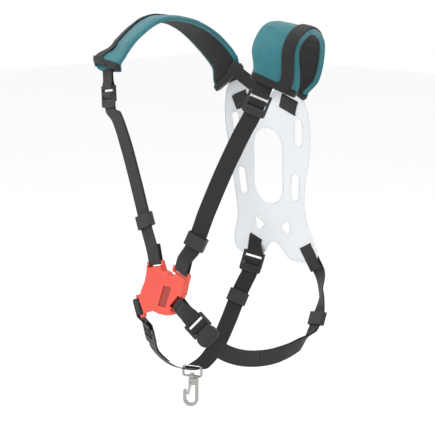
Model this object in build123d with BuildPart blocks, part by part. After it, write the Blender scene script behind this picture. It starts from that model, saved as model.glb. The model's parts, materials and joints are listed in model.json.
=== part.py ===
from build123d import *
import os
from math import cos, radians, sin, tan

# A double shoulder harness that carries a tool on a snap hook at the wearer's right hip.
# Millimetres. +X is the wearer's left, +Y the wearer's back, +Z up.
# The origin lies between the shoulders, level with the top of them.

os.makedirs("parts", exist_ok=True)

# The wearer that the straps are laid on, and the wearer that the routes were drawn for.
torso_width = 340.0
torso_depth = 270.0
torso_height = 700.0
drawn_width = 340.0
drawn_depth = 270.0
drawn_height = 700.0

# Webbing
web_width = 30.0
web_thickness = 1.6
layer_pitch = 2.3
load_web_width = 38.0
load_web_thickness = 2.0
sewn_gap = 0.3
running_gap = 0.3

# Cross-sections in each stretch of a run, and how far a run goes straight on from a lock
run_steps = 6
lead_in = 5.0

# Ladder locks
lock_side_gap = 0.75
lock_rail = 5.0
lock_thickness = 5.0
lock_head = 3.0
bar_radius = 2.2
bar_pitch = 12.0
lip_step = 10.5
lip_rise = 0.3
lip_thickness = 2.4
lock_tab = 14.0
waist_tab = 30.0
lock_corner = 5.0
waist_corner = 14.0
rib_half = 15.0
rib_radius = 0.7
rib_pitch = 2.6
wrap_tail = 11.0

# Keepers
keeper_length = 24.0
keeper_wall = 2.0
keeper_side_gap = 1.8
keeper_height_gap = 2.4

# Shoulder pads, from the skin outwards
pad_width = 80.0
lining_thickness = 1.5
foam_thickness = 8.0
cover_thickness = 1.5
foam_inset = 4.0
tape_width = 22.0
tape_thickness = 0.8
tape_inset = 12.0
tape_start = 12
foam_stop = 2
pad_lead = 10.0
binding_length = 9.0
binding_thickness = 1.2
pad_overhang = 42.0
mouth_height = 19.0
mouth_depth = 13.0

# Back plate
plate_thickness = 3.0
plate_shift = 4.0
plate_top_half = 103.0
plate_waist_half = 83.5
plate_leg_half = 103.0
plate_lean_top = 7.6
plate_lean_leg = 9.0
window_width = 72.0
window_height = 141.0
side_window_width = 20.0
side_window_height = 52.0
slot_side_gap = 1.0
slot_height = 4.4
load_slot_across = 58.0
load_slot_tilt = 21.0
load_patch = 20.0
load_patch_gap = 27.0
load_lead = 26.0
load_end = 14.0
slot_bend = 1.2
leg_drop = 260.0
leg_set_back = 28.5
left_leg_slot_across = 76.0
left_leg_slot_tilt = 28.0
right_leg_slot_across = 46.0
right_leg_slot_tilt = 21.0
leg_web_reach = 48.0

# The yoke between the pads
yoke_width = 26.0
yoke_drop = 24.0
yoke_forward = 10.0
yoke_sag = 3.0
yoke_gap = 3.6

# Chest unit
chest_thickness = 14.0
chest_wall = 2.2
back_thickness = 2.5
chest_frame = 5.0
chest_frame_reach = 7.0
button_width = 19.0
button_height = 38.0
button_travel = 3.0
button_drop = 1.4
button_gap = 0.4
button_across = 6.0
button_up = -12.0
button_lean = 7.5
button_rim = 2.0
button_thickness = 2.4
tongue_width = 22.0
tongue_height = 40.0
tongue_rise = 6.0
tongue_thickness = 2.8
leaf_half = 5.0
leaf_width = 5.0
leaf_thickness = 0.4
seam_gap = 0.1
screw_radius = 1.6

# Ring, swivel and snap hook
ring_wire = 2.3
ring_inside_height = 14.0
ring_turn = 22.0
ring_side_gap = 1.0
boss_radius = 4.5
boss_height = 5.5
stud_radius = 2.5
stud_gap = 0.06
stud_depth = 3.6
stud_head_radius = 4.2
stud_head_height = 2.5
hook_turn = 34.0
hook_thickness = 8.0
hook_bar = 6.0
spine_across = 8.5
bowl_radius = 11.5
bowl_drop = 41.0
tip_drop = 26.0
block_height = 14.0
gate_slot = 5.2
gate_thickness = 3.4
gate_width = 6.0
gate_end = (-8.2, -31.0)
pin_place = (-3.0, -8.4)
gate_pin_radius = 1.2
pin_gap = 0.05


def on_body(x, y, z):
    """A point drawn on the first wearer, moved to the wearer the harness is set to."""
    return Vector(
        x * torso_width / drawn_width,
        y * torso_depth / drawn_depth,
        z * torso_height / drawn_height,
    )


def seat(origin, across, up):
    """A plane whose x runs across the webbing, y up along it, and z outwards."""
    across = Vector(*across).normalized()
    outward = across.cross(Vector(*up)).normalized()
    return Plane(origin=origin, x_dir=across, z_dir=outward)


def turned(plane, turn):
    """A plane turned about its own normal."""
    across = plane.x_dir * cos(radians(turn)) + plane.y_dir * sin(radians(turn))
    return Plane(origin=plane.origin, x_dir=across, z_dir=plane.z_dir)


def seat_on(face, across, up, turn):
    """A seat on a flat face, moved across and up it and turned about its normal."""
    place = Plane(origin=face.from_local_coords((across, up, 0)), x_dir=face.x_dir, z_dir=face.z_dir)
    return turned(place, turn)


def side_of(plane):
    """The lengthwise section of a seat: x runs up along the webbing, y outwards."""
    return Plane(origin=plane.origin, x_dir=plane.y_dir, z_dir=plane.x_dir)


def flipped_cut(plane, along, out):
    """The cross-section of webbing that leaves a seat upwards, with its across turned round."""
    origin = plane.from_local_coords((0, along, out))
    return Plane(origin=origin, x_dir=-plane.x_dir, z_dir=plane.y_dir)


def cut_of(plane, along, out, heading=-1):
    """The cross-section of webbing on a seat; heading -1 travels down it and 1 up it."""
    origin = plane.from_local_coords((0, along, out))
    return Plane(origin=origin, x_dir=plane.x_dir, z_dir=plane.y_dir * heading)


def finish(piece, name):
    piece.part.label = name
    export_step(piece.part, f"parts/{name}.step")


def squared(point, across, along):
    """A cross-section at a point, its across made square to the travel."""
    along = along.normalized()
    flat = (across - along * across.dot(along)).normalized()
    return Plane(origin=point, x_dir=flat, z_dir=along)


def cuts_along(first, middle, last):
    """Closely spaced cross-sections from one end to the other, through (point, across) pairs."""
    points = [first.origin] + [point for point, across in middle] + [last.origin]
    stations = [first]
    for index, (point, across) in enumerate(middle, start=1):
        stations.append(squared(point, Vector(*across), points[index + 1] - points[index - 1]))
    stations.append(last)
    cuts = [first]
    for start, end in zip(stations, stations[1:]):
        leave = start.z_dir * (end.origin - start.origin).length
        arrive = end.z_dir * (end.origin - start.origin).length
        for step in range(1, run_steps + 1):
            t = step / run_steps
            point = start.origin * (2 * t**3 - 3 * t**2 + 1) + end.origin * (3 * t**2 - 2 * t**3)
            point = point + leave * (t**3 - 2 * t**2 + t) + arrive * (t**3 - t**2)
            along = (end.origin - start.origin) * (6 * t - 6 * t**2)
            along = along + leave * (3 * t**2 - 4 * t + 1) + arrive * (3 * t**2 - 2 * t)
            across = (start.x_dir * (1 - t) + end.x_dir * t).normalized()
            cuts.append(Plane(origin=point, x_dir=across, z_dir=along - across * along.dot(across)))
    return cuts


def run_of(planes, width=web_width, thickness=web_thickness):
    """A flat run of webbing or cloth through cross-sections."""
    with BuildPart() as run:
        for plane in planes:
            with BuildSketch(plane):
                Rectangle(width, thickness)
        loft(ruled=True)
    return run.part


def fold_of(plane, path, width=web_width, thickness=web_thickness):
    """Webbing bent in its lengthwise section, through (along, out, bend radius) points."""
    points = [(along, out) for along, out, radius in path]
    radii = [radius for along, out, radius in path[1:-1]]
    with BuildPart() as fold:
        with BuildSketch(side_of(plane)):
            with BuildLine():
                FilletPolyline(*points, radius=radii)
            trace(line_width=thickness)
        extrude(amount=width / 2, both=True)
    return fold.part


def join(name, *pieces):
    """One length of webbing from its runs and folds."""
    with BuildPart() as web:
        for piece in pieces:
            add(piece)
    finish(web, name)


# Webbing that goes round a bar keeps this far from the bar's centre.
turn_radius = bar_radius + running_gap + web_thickness / 2
turn_bend = turn_radius - 0.1
window_across = web_width + 2 * lock_side_gap
lock_width = window_across + 2 * lock_rail

# The two layers of webbing that leave a lock, measured outwards from the lock's middle.
upper_layer = lip_rise - running_gap - web_thickness / 2
lower_layer = upper_layer - layer_pitch
wrap_end = -(bar_pitch + lip_step + wrap_tail)
strap_start = wrap_end - sewn_gap


def ladder_lock(name, plane, tab, round_end):
    """Two rails, a fixed bar, a gripping bar and a lip with its pull tab; the seat is the fixed bar."""
    lip_edge = -(bar_pitch + lip_step)
    rail_length = lock_head - lip_edge + 4
    with BuildPart() as lock:
        with BuildSketch(plane.offset(-lock_thickness / 2)):
            with Locations((0, lock_head - rail_length / 2)):
                RectangleRounded(lock_width, rail_length, 2.2)
                Rectangle(window_across, rail_length + 1, mode=Mode.SUBTRACT)
        extrude(amount=lock_thickness)
        with BuildSketch(plane.offset(lip_rise)):
            with Locations((0, lip_edge - tab / 2)):
                RectangleRounded(lock_width, tab, round_end)
            with Locations((0, lip_edge - 2)):
                Rectangle(lock_width, 4)
        extrude(amount=lip_thickness)
        with BuildSketch(side_of(plane).offset(-window_across / 2 - 1)):
            Circle(bar_radius)
            with Locations((-bar_pitch, 0)):
                Circle(bar_radius)
        extrude(amount=window_across + 2)
        with BuildSketch(side_of(plane).offset(-rib_half)):
            for step in range(3):
                with Locations((lip_edge - tab + 4 + rib_pitch * step, lip_rise + lip_thickness)):
                    Circle(rib_radius)
        extrude(amount=2 * rib_half)
    finish(lock, name)


def lock_wrap(name, plane):
    """The strap's turn round the gripping bar, out under the lip: it moves with the lock."""
    path = [
        (wrap_end, upper_layer, 0),
        (-bar_pitch - lip_step + 1.5, upper_layer, 3),
        (-bar_pitch - 1, turn_radius, 1.5),
        (-bar_pitch + turn_radius, turn_radius, turn_bend),
        (-bar_pitch + turn_radius, -turn_radius, turn_bend),
        (wrap_end, lower_layer, 0),
    ]
    join(name, fold_of(plane, path))


def keeper(name, plane):
    """A flat loop that slides along two layers of webbing."""
    inside_width = web_width + 2 * keeper_side_gap
    inside_height = layer_pitch + web_thickness + 2 * keeper_height_gap
    with BuildPart() as loop:
        with BuildSketch(Plane(origin=plane.origin, x_dir=plane.x_dir, z_dir=plane.y_dir)):
            RectangleRounded(inside_width + 2 * keeper_wall, inside_height + 2 * keeper_wall, 2.5)
            RectangleRounded(inside_width, inside_height, 1.2, mode=Mode.SUBTRACT)
        extrude(amount=keeper_length / 2, both=True)
    finish(loop, name)


def short_turn(reach, back_reach):
    """A fold round a bar at the seat with a long outer layer and a short inner one."""
    return [
        (reach, turn_radius, 0),
        (-turn_radius, turn_radius, turn_bend),
        (-turn_radius, -turn_radius, turn_bend),
        (back_reach, -turn_radius, 0),
    ]


def bar_turn(reach, spread):
    """A fold round a bar at the seat, whose two layers run up to the given reach."""
    taper = 3.4 * turn_radius
    return [
        (reach, spread, 0),
        (taper, spread, 2),
        (turn_radius, turn_radius, 2),
        (-turn_radius, turn_radius, turn_bend),
        (-turn_radius, -turn_radius, turn_bend),
        (turn_radius, -turn_radius, 2),
        (taper, -spread, 2),
        (reach, -spread, 0),
    ]

# ---- Seats of the hardware ----

left_shoulder_seat = seat(on_body(146.5, -74, -113), (0.71, 0.59, -0.38), (0.28, 0.16, 0.947))
right_shoulder_seat = seat(on_body(-170, -131, -119), (0.98, -0.15, 0.15), (-0.25, 0.1, 0.96))
left_waist_seat = seat(on_body(57.6, -146, -506.5), (0.56, 0.40, 0.72), (-0.70, -0.24, 0.67))
right_hip_seat = seat(on_body(-84, -120, -547), (0.92, -0.30, -0.19), (0.08, -0.34, 0.94))

chest_face = Plane(origin=on_body(-9, -150, -460), x_dir=(1, 0, 0), z_dir=(0, -1, 0))
upper_right_bar = seat_on(chest_face, -22, 44, 13)
upper_left_bar = seat_on(chest_face, 43, 38, -18)
lower_right_bar = seat_on(chest_face, -64, -42, 109)
lower_left_bar = seat_on(chest_face, 34, -20, -133)

# The plate's flat stretches, both seen from the wearer's side.
plate_origin = on_body(plate_shift, 94, -150)
plate_face = Plane(origin=plate_origin, x_dir=(1, 0, 0), z_dir=(0, -1, 0))
top_face = plate_face.rotated((plate_lean_top, 0, 0))
leg_centre = plate_face.from_local_coords((0, -leg_drop, -leg_set_back))
leg_face = Plane(origin=leg_centre, x_dir=(1, 0, 0), z_dir=(0, -1, 0)).rotated((plate_lean_leg, 0, 0))
left_load_seat = seat_on(top_face, load_slot_across, 0, -load_slot_tilt)
right_load_seat = seat_on(top_face, -load_slot_across, 0, load_slot_tilt)
left_leg_seat = seat_on(leg_face, left_leg_slot_across, 0, left_leg_slot_tilt)
right_leg_seat = seat_on(leg_face, -right_leg_slot_across, 0, -right_leg_slot_tilt)
right_leg_lock_seat = seat(
    plate_origin + Vector(-right_leg_slot_across + 5, 18, -289), (0.88, 0.42, -0.22), (0.10, 0.30, 0.95)
)

# ---- Back plate ----

slot_width = web_width + 2 * slot_side_gap
load_slot_width = load_web_width + 2 * slot_side_gap
load_layer = plate_thickness / 2 + sewn_gap + load_web_thickness / 2
leg_layer = plate_thickness / 2 + sewn_gap + web_thickness / 2
patch_edge = (load_patch + slot_height) / 2
hidden_slot = patch_edge + load_patch_gap

# The left half of the plate, seen from the wearer's side: wing, waist, leg and notch.
with BuildSketch() as plate_half:
    with BuildLine():
        Spline((0, 6), (24, 20), (42, 46), tangents=((1, 0), (0.3, 1)))
        Spline(
            (42, 46),
            (64, 52),
            (plate_top_half - 9, 12),
            (plate_top_half, -46),
            (plate_top_half - 6, -100),
            (plate_waist_half + 3, -155),
            (plate_waist_half, -192),
            (plate_waist_half + 6, -232),
            (plate_leg_half - 2, -264),
            (plate_leg_half - 3, -284),
            (plate_leg_half - 16, -294),
        )
        Spline((plate_leg_half - 16, -294), (58, -294), (32, -290), (14, -270), (0, -262))
        Line((0, -262), (0, 6))
    make_face()
    mirror(about=Plane.YZ)

with BuildPart() as plate:
    with BuildSketch(Plane(origin=plate_origin, x_dir=(0, 1, 0), z_dir=(1, 0, 0))):
        with BuildLine():
            top_run = Line(
                (-70 * tan(radians(plate_lean_top)), 70),
                (60 * tan(radians(plate_lean_top)), -60),
            )
            leg_run = Line(
                (leg_set_back - 22 * tan(radians(plate_lean_leg)), 22 - leg_drop),
                (leg_set_back + 50 * tan(radians(plate_lean_leg)), -50 - leg_drop),
            )
            Spline(top_run @ 1, (10.5, -125), (16, -190), leg_run @ 0, tangents=(top_run % 1, leg_run % 0))
        trace(line_width=plate_thickness)
    extrude(amount=plate_top_half + 20, both=True)
    with BuildSketch(plate_face.offset(-80)):
        add(plate_half.sketch)
    extrude(amount=160, mode=Mode.INTERSECT)
    with BuildSketch(plate_face.offset(-80)):
        with Locations((0, -118)):
            RectangleRounded(window_width, window_height, window_width / 2 - 1)
        for side in (-1, 1):
            with Locations((side * (plate_top_half - 27), -50), (side * (plate_waist_half - 19), -152)):
                SlotOverall(side_window_height, side_window_width, rotation=90 - side * 6)
            with BuildLine():
                FilletPolyline(
                    (side * 16, -232),
                    (side * 44, -214),
                    (side * 42, -246),
                    radius=5,
                    close=True,
                )
            make_face()
    extrude(amount=160, mode=Mode.SUBTRACT)
    for face, width, places in (
        (left_load_seat, load_slot_width, (-patch_edge, patch_edge, hidden_slot)),
        (right_load_seat, load_slot_width, (-patch_edge, patch_edge, hidden_slot)),
        (left_leg_seat, slot_width, (0,)),
        (right_leg_seat, slot_width, (0,)),
    ):
        with BuildSketch(face.offset(-10)):
            for place in places:
                with Locations((0, place)):
                    RectangleRounded(width, slot_height, 1.2)
        extrude(amount=20, mode=Mode.SUBTRACT)
finish(plate, "back_plate")

# ---- Load straps: from under each pad, in and out of the plate's slots ----
for side, load_seat in (("left", left_load_seat), ("right", right_load_seat)):
    path = [
        (-patch_edge - load_lead, -load_layer, 0),
        (-patch_edge, -load_layer, slot_bend),
        (-patch_edge, load_layer, slot_bend),
        (patch_edge, load_layer, slot_bend),
        (patch_edge, -load_layer, slot_bend),
        (hidden_slot, -load_layer, slot_bend),
        (hidden_slot, load_layer, slot_bend),
        (hidden_slot + load_end, load_layer, 0),
    ]
    join(f"{side}_load_strap", fold_of(load_seat, path, load_web_width, load_web_thickness))

# ---- Shoulder pads ----
lining_lift = -(foam_thickness + lining_thickness) / 2 - sewn_gap
cover_lift = (foam_thickness + cover_thickness) / 2 + sewn_gap
tape_lift = cover_lift + (cover_thickness + tape_thickness) / 2 + sewn_gap
pad_half = foam_thickness / 2 + max(cover_thickness, lining_thickness) + sewn_gap
rear_out = load_layer + load_web_thickness / 2 + pad_half + binding_thickness + 3 * sewn_gap


def lifted(planes, lift, shift=0.0):
    """The same cross-sections, moved outwards and across."""
    moved = []
    for plane in planes:
        origin = plane.origin + plane.y_dir * lift + plane.x_dir * shift
        moved.append(Plane(origin=origin, x_dir=plane.x_dir, z_dir=plane.z_dir))
    return moved


def straight_on(plane, distance):
    """The same cross-section further along its travel."""
    return Plane(origin=plane.origin + plane.z_dir * distance, x_dir=plane.x_dir, z_dir=plane.z_dir)


def binding(name, edge, depth, inwards):
    """A folded tape over a raw edge: inwards is 1 or -1 along the edge's travel."""
    wide = pad_width + 2 * sewn_gap
    deep = depth + 2 * sewn_gap
    with BuildPart() as tape:
        with BuildSketch(straight_on(edge, -inwards * (sewn_gap + binding_thickness))):
            Rectangle(wide + 2 * binding_thickness, deep + 2 * binding_thickness)
        extrude(amount=inwards * (sewn_gap + binding_thickness + binding_length))
        with BuildSketch(straight_on(edge, -inwards * sewn_gap)):
            Rectangle(wide, deep)
        extrude(amount=inwards * (2 * sewn_gap + binding_length), mode=Mode.SUBTRACT)
    finish(tape, name)


def shoulder_pad(side, load_seat, rear_turn, lock_seat, mouth_shift, tape_side, middle):
    """Cover, foam and lining from the plate to the open front end, with tape and bindings."""
    rear_seat = turned(load_seat, rear_turn)
    rear_origin = load_seat.from_local_coords((0, pad_overhang, rear_out))
    rear = Plane(origin=rear_origin, x_dir=rear_seat.x_dir, z_dir=rear_seat.y_dir)
    front_origin = lock_seat.from_local_coords((mouth_shift, mouth_height, 0))
    front = Plane(origin=front_origin, x_dir=lock_seat.x_dir, z_dir=-lock_seat.y_dir)
    route = [(on_body(*point), across) for point, across in middle]
    bend = cuts_along(straight_on(rear, pad_lead), route, straight_on(front, -pad_lead))
    cuts = [rear] + bend + [front]
    cover_cuts = lifted(cuts, cover_lift)
    join(f"{side}_pad_lining", run_of(lifted(cuts, lining_lift), pad_width, lining_thickness))
    join(f"{side}_pad_foam", run_of(cuts[:-foam_stop], pad_width - 2 * foam_inset, foam_thickness))
    join(f"{side}_pad_cover", run_of(cover_cuts, pad_width, cover_thickness))
    tape_shift = tape_side * (pad_width / 2 - tape_inset - tape_width / 2)
    tape_cuts = lifted(cuts[tape_start:-2], tape_lift, tape_shift)
    join(f"{side}_pad_tape", run_of(tape_cuts, tape_width, tape_thickness))
    binding(f"{side}_pad_rear_binding", rear, 2 * pad_half, 1)
    binding(f"{side}_pad_front_binding", cover_cuts[-1], cover_thickness, -1)


shoulder_pad(
    "left",
    left_load_seat,
    -14,
    left_shoulder_seat,
    14,
    1,
    [
        ((102, 76, -83), (0.86, 0.28, -0.42)),
        ((118, 66, -52), (0.88, 0.34, -0.32)),
        ((139, 40, -20), (0.90, 0.38, -0.22)),
        ((153, 4, -4), (0.92, 0.36, -0.16)),
        ((161, -32, -10), (0.92, 0.36, -0.16)),
        ((164, -56, -36), (0.92, 0.36, -0.18)),
    ],
)
shoulder_pad(
    "right",
    right_load_seat,
    14,
    right_shoulder_seat,
    0,
    -1,
    [
        ((-81, 75, -81), (0.80, -0.24, 0.50)),
        ((-101, 56, -46), (0.86, -0.24, 0.36)),
        ((-114, 24, -18), (0.92, -0.26, 0.20)),
        ((-125, -14, -2), (0.92, -0.34, 0.10)),
        ((-136, -54, -2), (0.88, -0.44, 0.02)),
        ((-152, -90, -28), (0.86, -0.48, -0.04)),
        ((-164, -112, -58), (0.88, -0.40, 0.00)),
    ],
)

# ---- The yoke between the two pads, over the top of the plate ----
yoke_ends = []
for load_seat, turn, reach in ((right_load_seat, 14, 1), (left_load_seat, -14, -1)):
    corner_out = rear_out + pad_half + binding_thickness + web_thickness / 2 + yoke_gap
    corner = load_seat.from_local_coords((0, pad_overhang + 14, corner_out))
    yoke_ends.append(corner + turned(load_seat, turn).x_dir * reach * (pad_width / 2 - 14))
yoke_low = plate_face.from_local_coords((0, yoke_drop, yoke_forward))
yoke_right, yoke_left = yoke_ends
yoke_cuts = cuts_along(
    Plane(origin=yoke_right, x_dir=(0.55, 0, 0.83), z_dir=(0.83, 0.0, -0.55)),
    [
        (yoke_right * 0.4 + yoke_low * 0.6 - Vector(0, 0, yoke_sag), (0.4, 0, 0.9)),
        (yoke_low, (0, 0, 1)),
        (yoke_left * 0.4 + yoke_low * 0.6 - Vector(0, 0, yoke_sag), (-0.4, 0, 0.9)),
    ],
    Plane(origin=yoke_left, x_dir=(-0.55, 0, 0.83), z_dir=(0.83, 0.0, 0.55)),
)
join("yoke_web", run_of(yoke_cuts, yoke_width))

# ---- Pad webs, ladder locks and the webbing threaded through them ----
locks = {
    "left_shoulder": (left_shoulder_seat, lock_tab, lock_corner),
    "right_shoulder": (right_shoulder_seat, lock_tab, lock_corner),
    "left_waist": (left_waist_seat, waist_tab, waist_corner),
    "right_hip": (right_hip_seat, lock_tab, lock_corner),
    "right_leg": (right_leg_lock_seat, lock_tab, lock_corner),
}
for name, (lock_seat, tab, round_end) in locks.items():
    ladder_lock(f"{name}_lock", lock_seat, tab, round_end)
    lock_wrap(f"{name}_wrap", lock_seat)
for side, lock_seat in (("left", left_shoulder_seat), ("right", right_shoulder_seat)):
    join(f"{side}_pad_web", fold_of(lock_seat, bar_turn(mouth_height + mouth_depth, layer_pitch / 2)))

# ---- Shoulder straps, each with its loose end behind it ----
chest_fold = 14.0
shoulder_routes = {
    "left_shoulder": (
        left_shoulder_seat,
        upper_left_bar,
        [
            ((124, -93, -176), (0.73, 0.57, -0.38)),
            ((100, -113, -242), (0.76, 0.53, -0.37)),
            ((74, -131, -318), (0.80, 0.46, -0.36)),
            ((54, -142, -378), (0.88, 0.30, -0.36)),
        ],
    ),
    "right_shoulder": (
        right_shoulder_seat,
        upper_right_bar,
        [
            ((-147, -135, -170), (0.96, -0.12, 0.24)),
            ((-121, -138, -214), (0.92, -0.05, 0.38)),
            ((-88, -142, -288), (0.92, -0.04, 0.38)),
            ((-58, -147, -358), (0.93, -0.02, 0.36)),
        ],
    ),
}
keeper_seats = {}
for name, (lock_seat, bar_seat, middle) in shoulder_routes.items():
    route = [(on_body(*point), across) for point, across in middle]
    lead = cut_of(lock_seat, strap_start - lead_in, upper_layer)
    bottom = cut_of(bar_seat, chest_fold, turn_radius)
    cuts = [cut_of(lock_seat, strap_start, upper_layer)] + cuts_along(lead, route, bottom)
    turn = fold_of(bar_seat, short_turn(chest_fold, chest_fold + 18))
    join(f"{name}_strap", run_of(cuts), turn)
    join(f"{name}_tail", run_of(lifted(cuts[:-run_steps], -layer_pitch)))
    spot = cuts[-run_steps - 2]
    keeper_seats[name] = Plane(
        origin=spot.origin - spot.y_dir * layer_pitch / 2, x_dir=spot.x_dir, z_dir=spot.y_dir
    )

# ---- Waist strap on the wearer's left, through the plate's left leg ----
waist_route = [
    ((98, -122, -556), (0.40, 0.28, 0.87)),
    ((110, -88, -574), (0.22, 0.12, 0.97)),
    ((118, -46, -583), (0.10, 0.02, 1.0)),
    ((127, -4, -583), (0.12, -0.02, 1.0)),
    ((138, 40, -571), (0.35, -0.12, 0.93)),
    ((146, 68, -548), (0.91, -0.15, 0.38)),
    ((145, 86, -518), (0.97, -0.15, 0.25)),
    ((136, 102, -486), (0.76, -0.62, 0.20)),
]
route = [(on_body(*point), across) for point, across in waist_route]
lead = cut_of(left_waist_seat, strap_start - lead_in, upper_layer)
arrival = cut_of(left_leg_seat, -leg_web_reach, -leg_layer, 1)
cuts = [cut_of(left_waist_seat, strap_start, upper_layer)] + cuts_along(lead, route, arrival)
leg_path = [
    (-leg_web_reach, -leg_layer, 0),
    (0, -leg_layer, slot_bend),
    (0, leg_layer, slot_bend),
    (-leg_web_reach, leg_layer, 0),
]
join("left_waist_strap", run_of(cuts), fold_of(left_leg_seat, leg_path))
join("left_waist_tail", run_of(lifted(cuts[: 7 * run_steps + 4], -layer_pitch)))
spot = cuts[7 * run_steps - 1]
keeper_seats["left_waist"] = Plane(
    origin=spot.origin - spot.y_dir * layer_pitch / 2, x_dir=spot.x_dir, z_dir=spot.y_dir
)

# ---- Hip strap on the wearer's right, down through the ring and up to the plate's right leg ----
ring_centre = on_body(-91, 0, -650)
ring_across = Vector(cos(radians(ring_turn)), sin(radians(ring_turn)), 0)
ring_along = Vector(-sin(radians(ring_turn)), cos(radians(ring_turn)), 0)
ring_cut = Plane(origin=ring_centre, x_dir=ring_across, z_dir=ring_along)
front_route = [
    ((-89, -98, -596), (0.92, -0.10, -0.30)),
    ((-93, -66, -624), (0.96, 0.04, -0.20)),
    ((-94, -30, -644), (0.95, 0.25, -0.08)),
]
rear_route = [
    ((-83, 22, -642), (0.90, 0.42, -0.08)),
    ((-69, 44, -609), (0.82, 0.54, -0.18)),
    ((-60, 64, -566), (0.77, 0.60, -0.24)),
    ((-54, 84, -521), (0.77, 0.59, -0.25)),
    ((-47, 98, -490), (0.82, 0.52, -0.24)),
]
front = [(on_body(*point), across) for point, across in front_route]
rear = [(on_body(*point), across) for point, across in rear_route]
lead = cut_of(right_hip_seat, strap_start - lead_in, upper_layer)
arrival = cut_of(right_leg_lock_seat, strap_start - lead_in, upper_layer, 1)
front_cuts = [cut_of(right_hip_seat, strap_start, upper_layer)] + cuts_along(lead, front, ring_cut)
rear_end = cut_of(right_leg_lock_seat, strap_start, upper_layer, 1)
rear_cuts = cuts_along(ring_cut, rear, arrival) + [rear_end]
join("right_hip_strap_front", run_of(front_cuts))
join("right_hip_strap_rear", run_of(rear_cuts))
join("right_leg_tail", run_of(lifted(rear_cuts[3 * run_steps :], layer_pitch)))
join("right_hip_tail", run_of(lifted(front_cuts[: 2 * run_steps], -layer_pitch)))
spot = rear_cuts[4 * run_steps]
keeper_seats["right_leg"] = Plane(
    origin=spot.origin + spot.y_dir * layer_pitch / 2, x_dir=spot.x_dir, z_dir=spot.y_dir
)

for name, keeper_seat in keeper_seats.items():
    keeper(f"{name}_keeper", keeper_seat)

# ---- Short webs: chest unit to the waist lock and the hip lock, plate to the leg lock ----
def double_web(name, top_seat, bottom_seat, reach, middle):
    """A sewn band round two bars, its two layers a layer pitch apart between them."""
    route = [(on_body(*point), across) for point, across in middle]
    layers = []
    for side in (1, -1):
        first = flipped_cut(top_seat, reach, side * turn_radius)
        last = cut_of(bottom_seat, reach, side * turn_radius)
        cuts = cuts_along(first, route, last)
        layers.append(run_of([first] + lifted(cuts[1:-1], side * layer_pitch / 2) + [last]))
    turns = [fold_of(end, short_turn(reach, reach)) for end in (top_seat, bottom_seat)]
    join(name, *layers, *turns)


double_web("left_chest_web", lower_left_bar, left_waist_seat, 7, [((44, -151, -494), (0.62, 0.20, 0.74))])
double_web("right_chest_web", lower_right_bar, right_hip_seat, 7, [((-86, -140, -521), (0.66, -0.20, -0.66))])

slot_path = [(-26, -leg_layer, 0), (0, -leg_layer, slot_bend), (0, leg_layer, slot_bend), (-5, leg_layer, 0)]
join(
    "right_leg_web",
    fold_of(right_leg_seat, slot_path),
    run_of([cut_of(right_leg_seat, -5, leg_layer), cut_of(right_leg_lock_seat, 6, turn_radius)]),
    fold_of(right_leg_lock_seat, short_turn(6, 5.5)),
)

# ---- Chest unit ----
front_face = chest_thickness / 2
shell_base = back_thickness - chest_thickness / 2
bar_seats = (upper_left_bar, upper_right_bar, lower_left_bar, lower_right_bar)

# The X-shaped edge of the unit between its four webbing frames.
with BuildSketch() as chest_outline:
    with BuildLine():
        Polyline(
            (-39, 37),
            (-5, 43),
            (-1, 33),
            (10, 31),
            (17, 25),
            (27, 24),
            (31, 33),
            (56, 25),
            (48, -4),
            (43, -8),
            (19, -34),
            (26, -42),
            (8, -46),
            (-12, -46),
            (-25, -43),
            (-48, -52),
            (-61, -27),
            (-54, -9),
            (-45, 8),
            (-41, 24),
            close=True,
        )
    make_face()
    fillet(chest_outline.vertices(), radius=1.5)

# The finger recess over the release button: a parallelogram that leans to the wearer's left.
wide = button_width / 2
high = button_height / 2
with BuildSketch() as recess:
    with BuildLine():
        FilletPolyline(
            (button_across + button_lean - wide, button_up + high),
            (button_across + button_lean + wide, button_up + high),
            (button_across - button_lean + wide, button_up - high),
            (button_across - button_lean - wide, button_up - high),
            radius=1.5,
            close=True,
        )
    make_face()

# What the four webbing folds need clear of the unit, behind and beside their bars.
with BuildPart() as fold_room:
    for bar_seat in bar_seats:
        with BuildSketch(bar_seat.offset(-chest_thickness)):
            with Locations((0, -chest_frame_reach / 2 + 4)):
                Rectangle(window_across, chest_frame_reach + 8)
        extrude(amount=2 * chest_thickness)

screw_places = {"upper": (-30, 24), "lower": (-34, -30), "side": (34, 14)}
with BuildPart() as shell:
    with BuildSketch(chest_face.offset(shell_base)):
        add(chest_outline.sketch)
    extrude(amount=front_face - shell_base)
    chamfer(shell.faces().sort_by(Axis.Y)[0].edges(), 1.2)
    for bar_seat in bar_seats:
        with BuildSketch(bar_seat.offset(-chest_frame / 2)):
            with Locations((0, -chest_frame_reach / 2)):
                Rectangle(lock_width, chest_frame_reach + 2 * bar_radius)
        extrude(amount=chest_frame)
    with BuildSketch(chest_face.offset(shell_base)):
        add(chest_outline.sketch)
        offset(amount=-chest_wall, mode=Mode.REPLACE)
    extrude(amount=front_face - shell_base - chest_wall, mode=Mode.SUBTRACT)
    with BuildSketch(chest_face):
        add(recess.sketch)
    extrude(amount=chest_thickness, mode=Mode.SUBTRACT)
    add(fold_room.part, mode=Mode.SUBTRACT)
    for bar_seat in bar_seats:
        with BuildSketch(side_of(bar_seat).offset(-window_across / 2 - 1)):
            Circle(bar_radius)
        extrude(amount=window_across + 2)
    with BuildSketch(chest_face.offset(shell_base)):
        with Locations(*screw_places.values()):
            Circle(screw_radius + 2)
            Circle(screw_radius + pin_gap, mode=Mode.SUBTRACT)
    extrude(amount=front_face - shell_base - chest_wall / 2)
finish(shell, "chest_shell")

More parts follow.
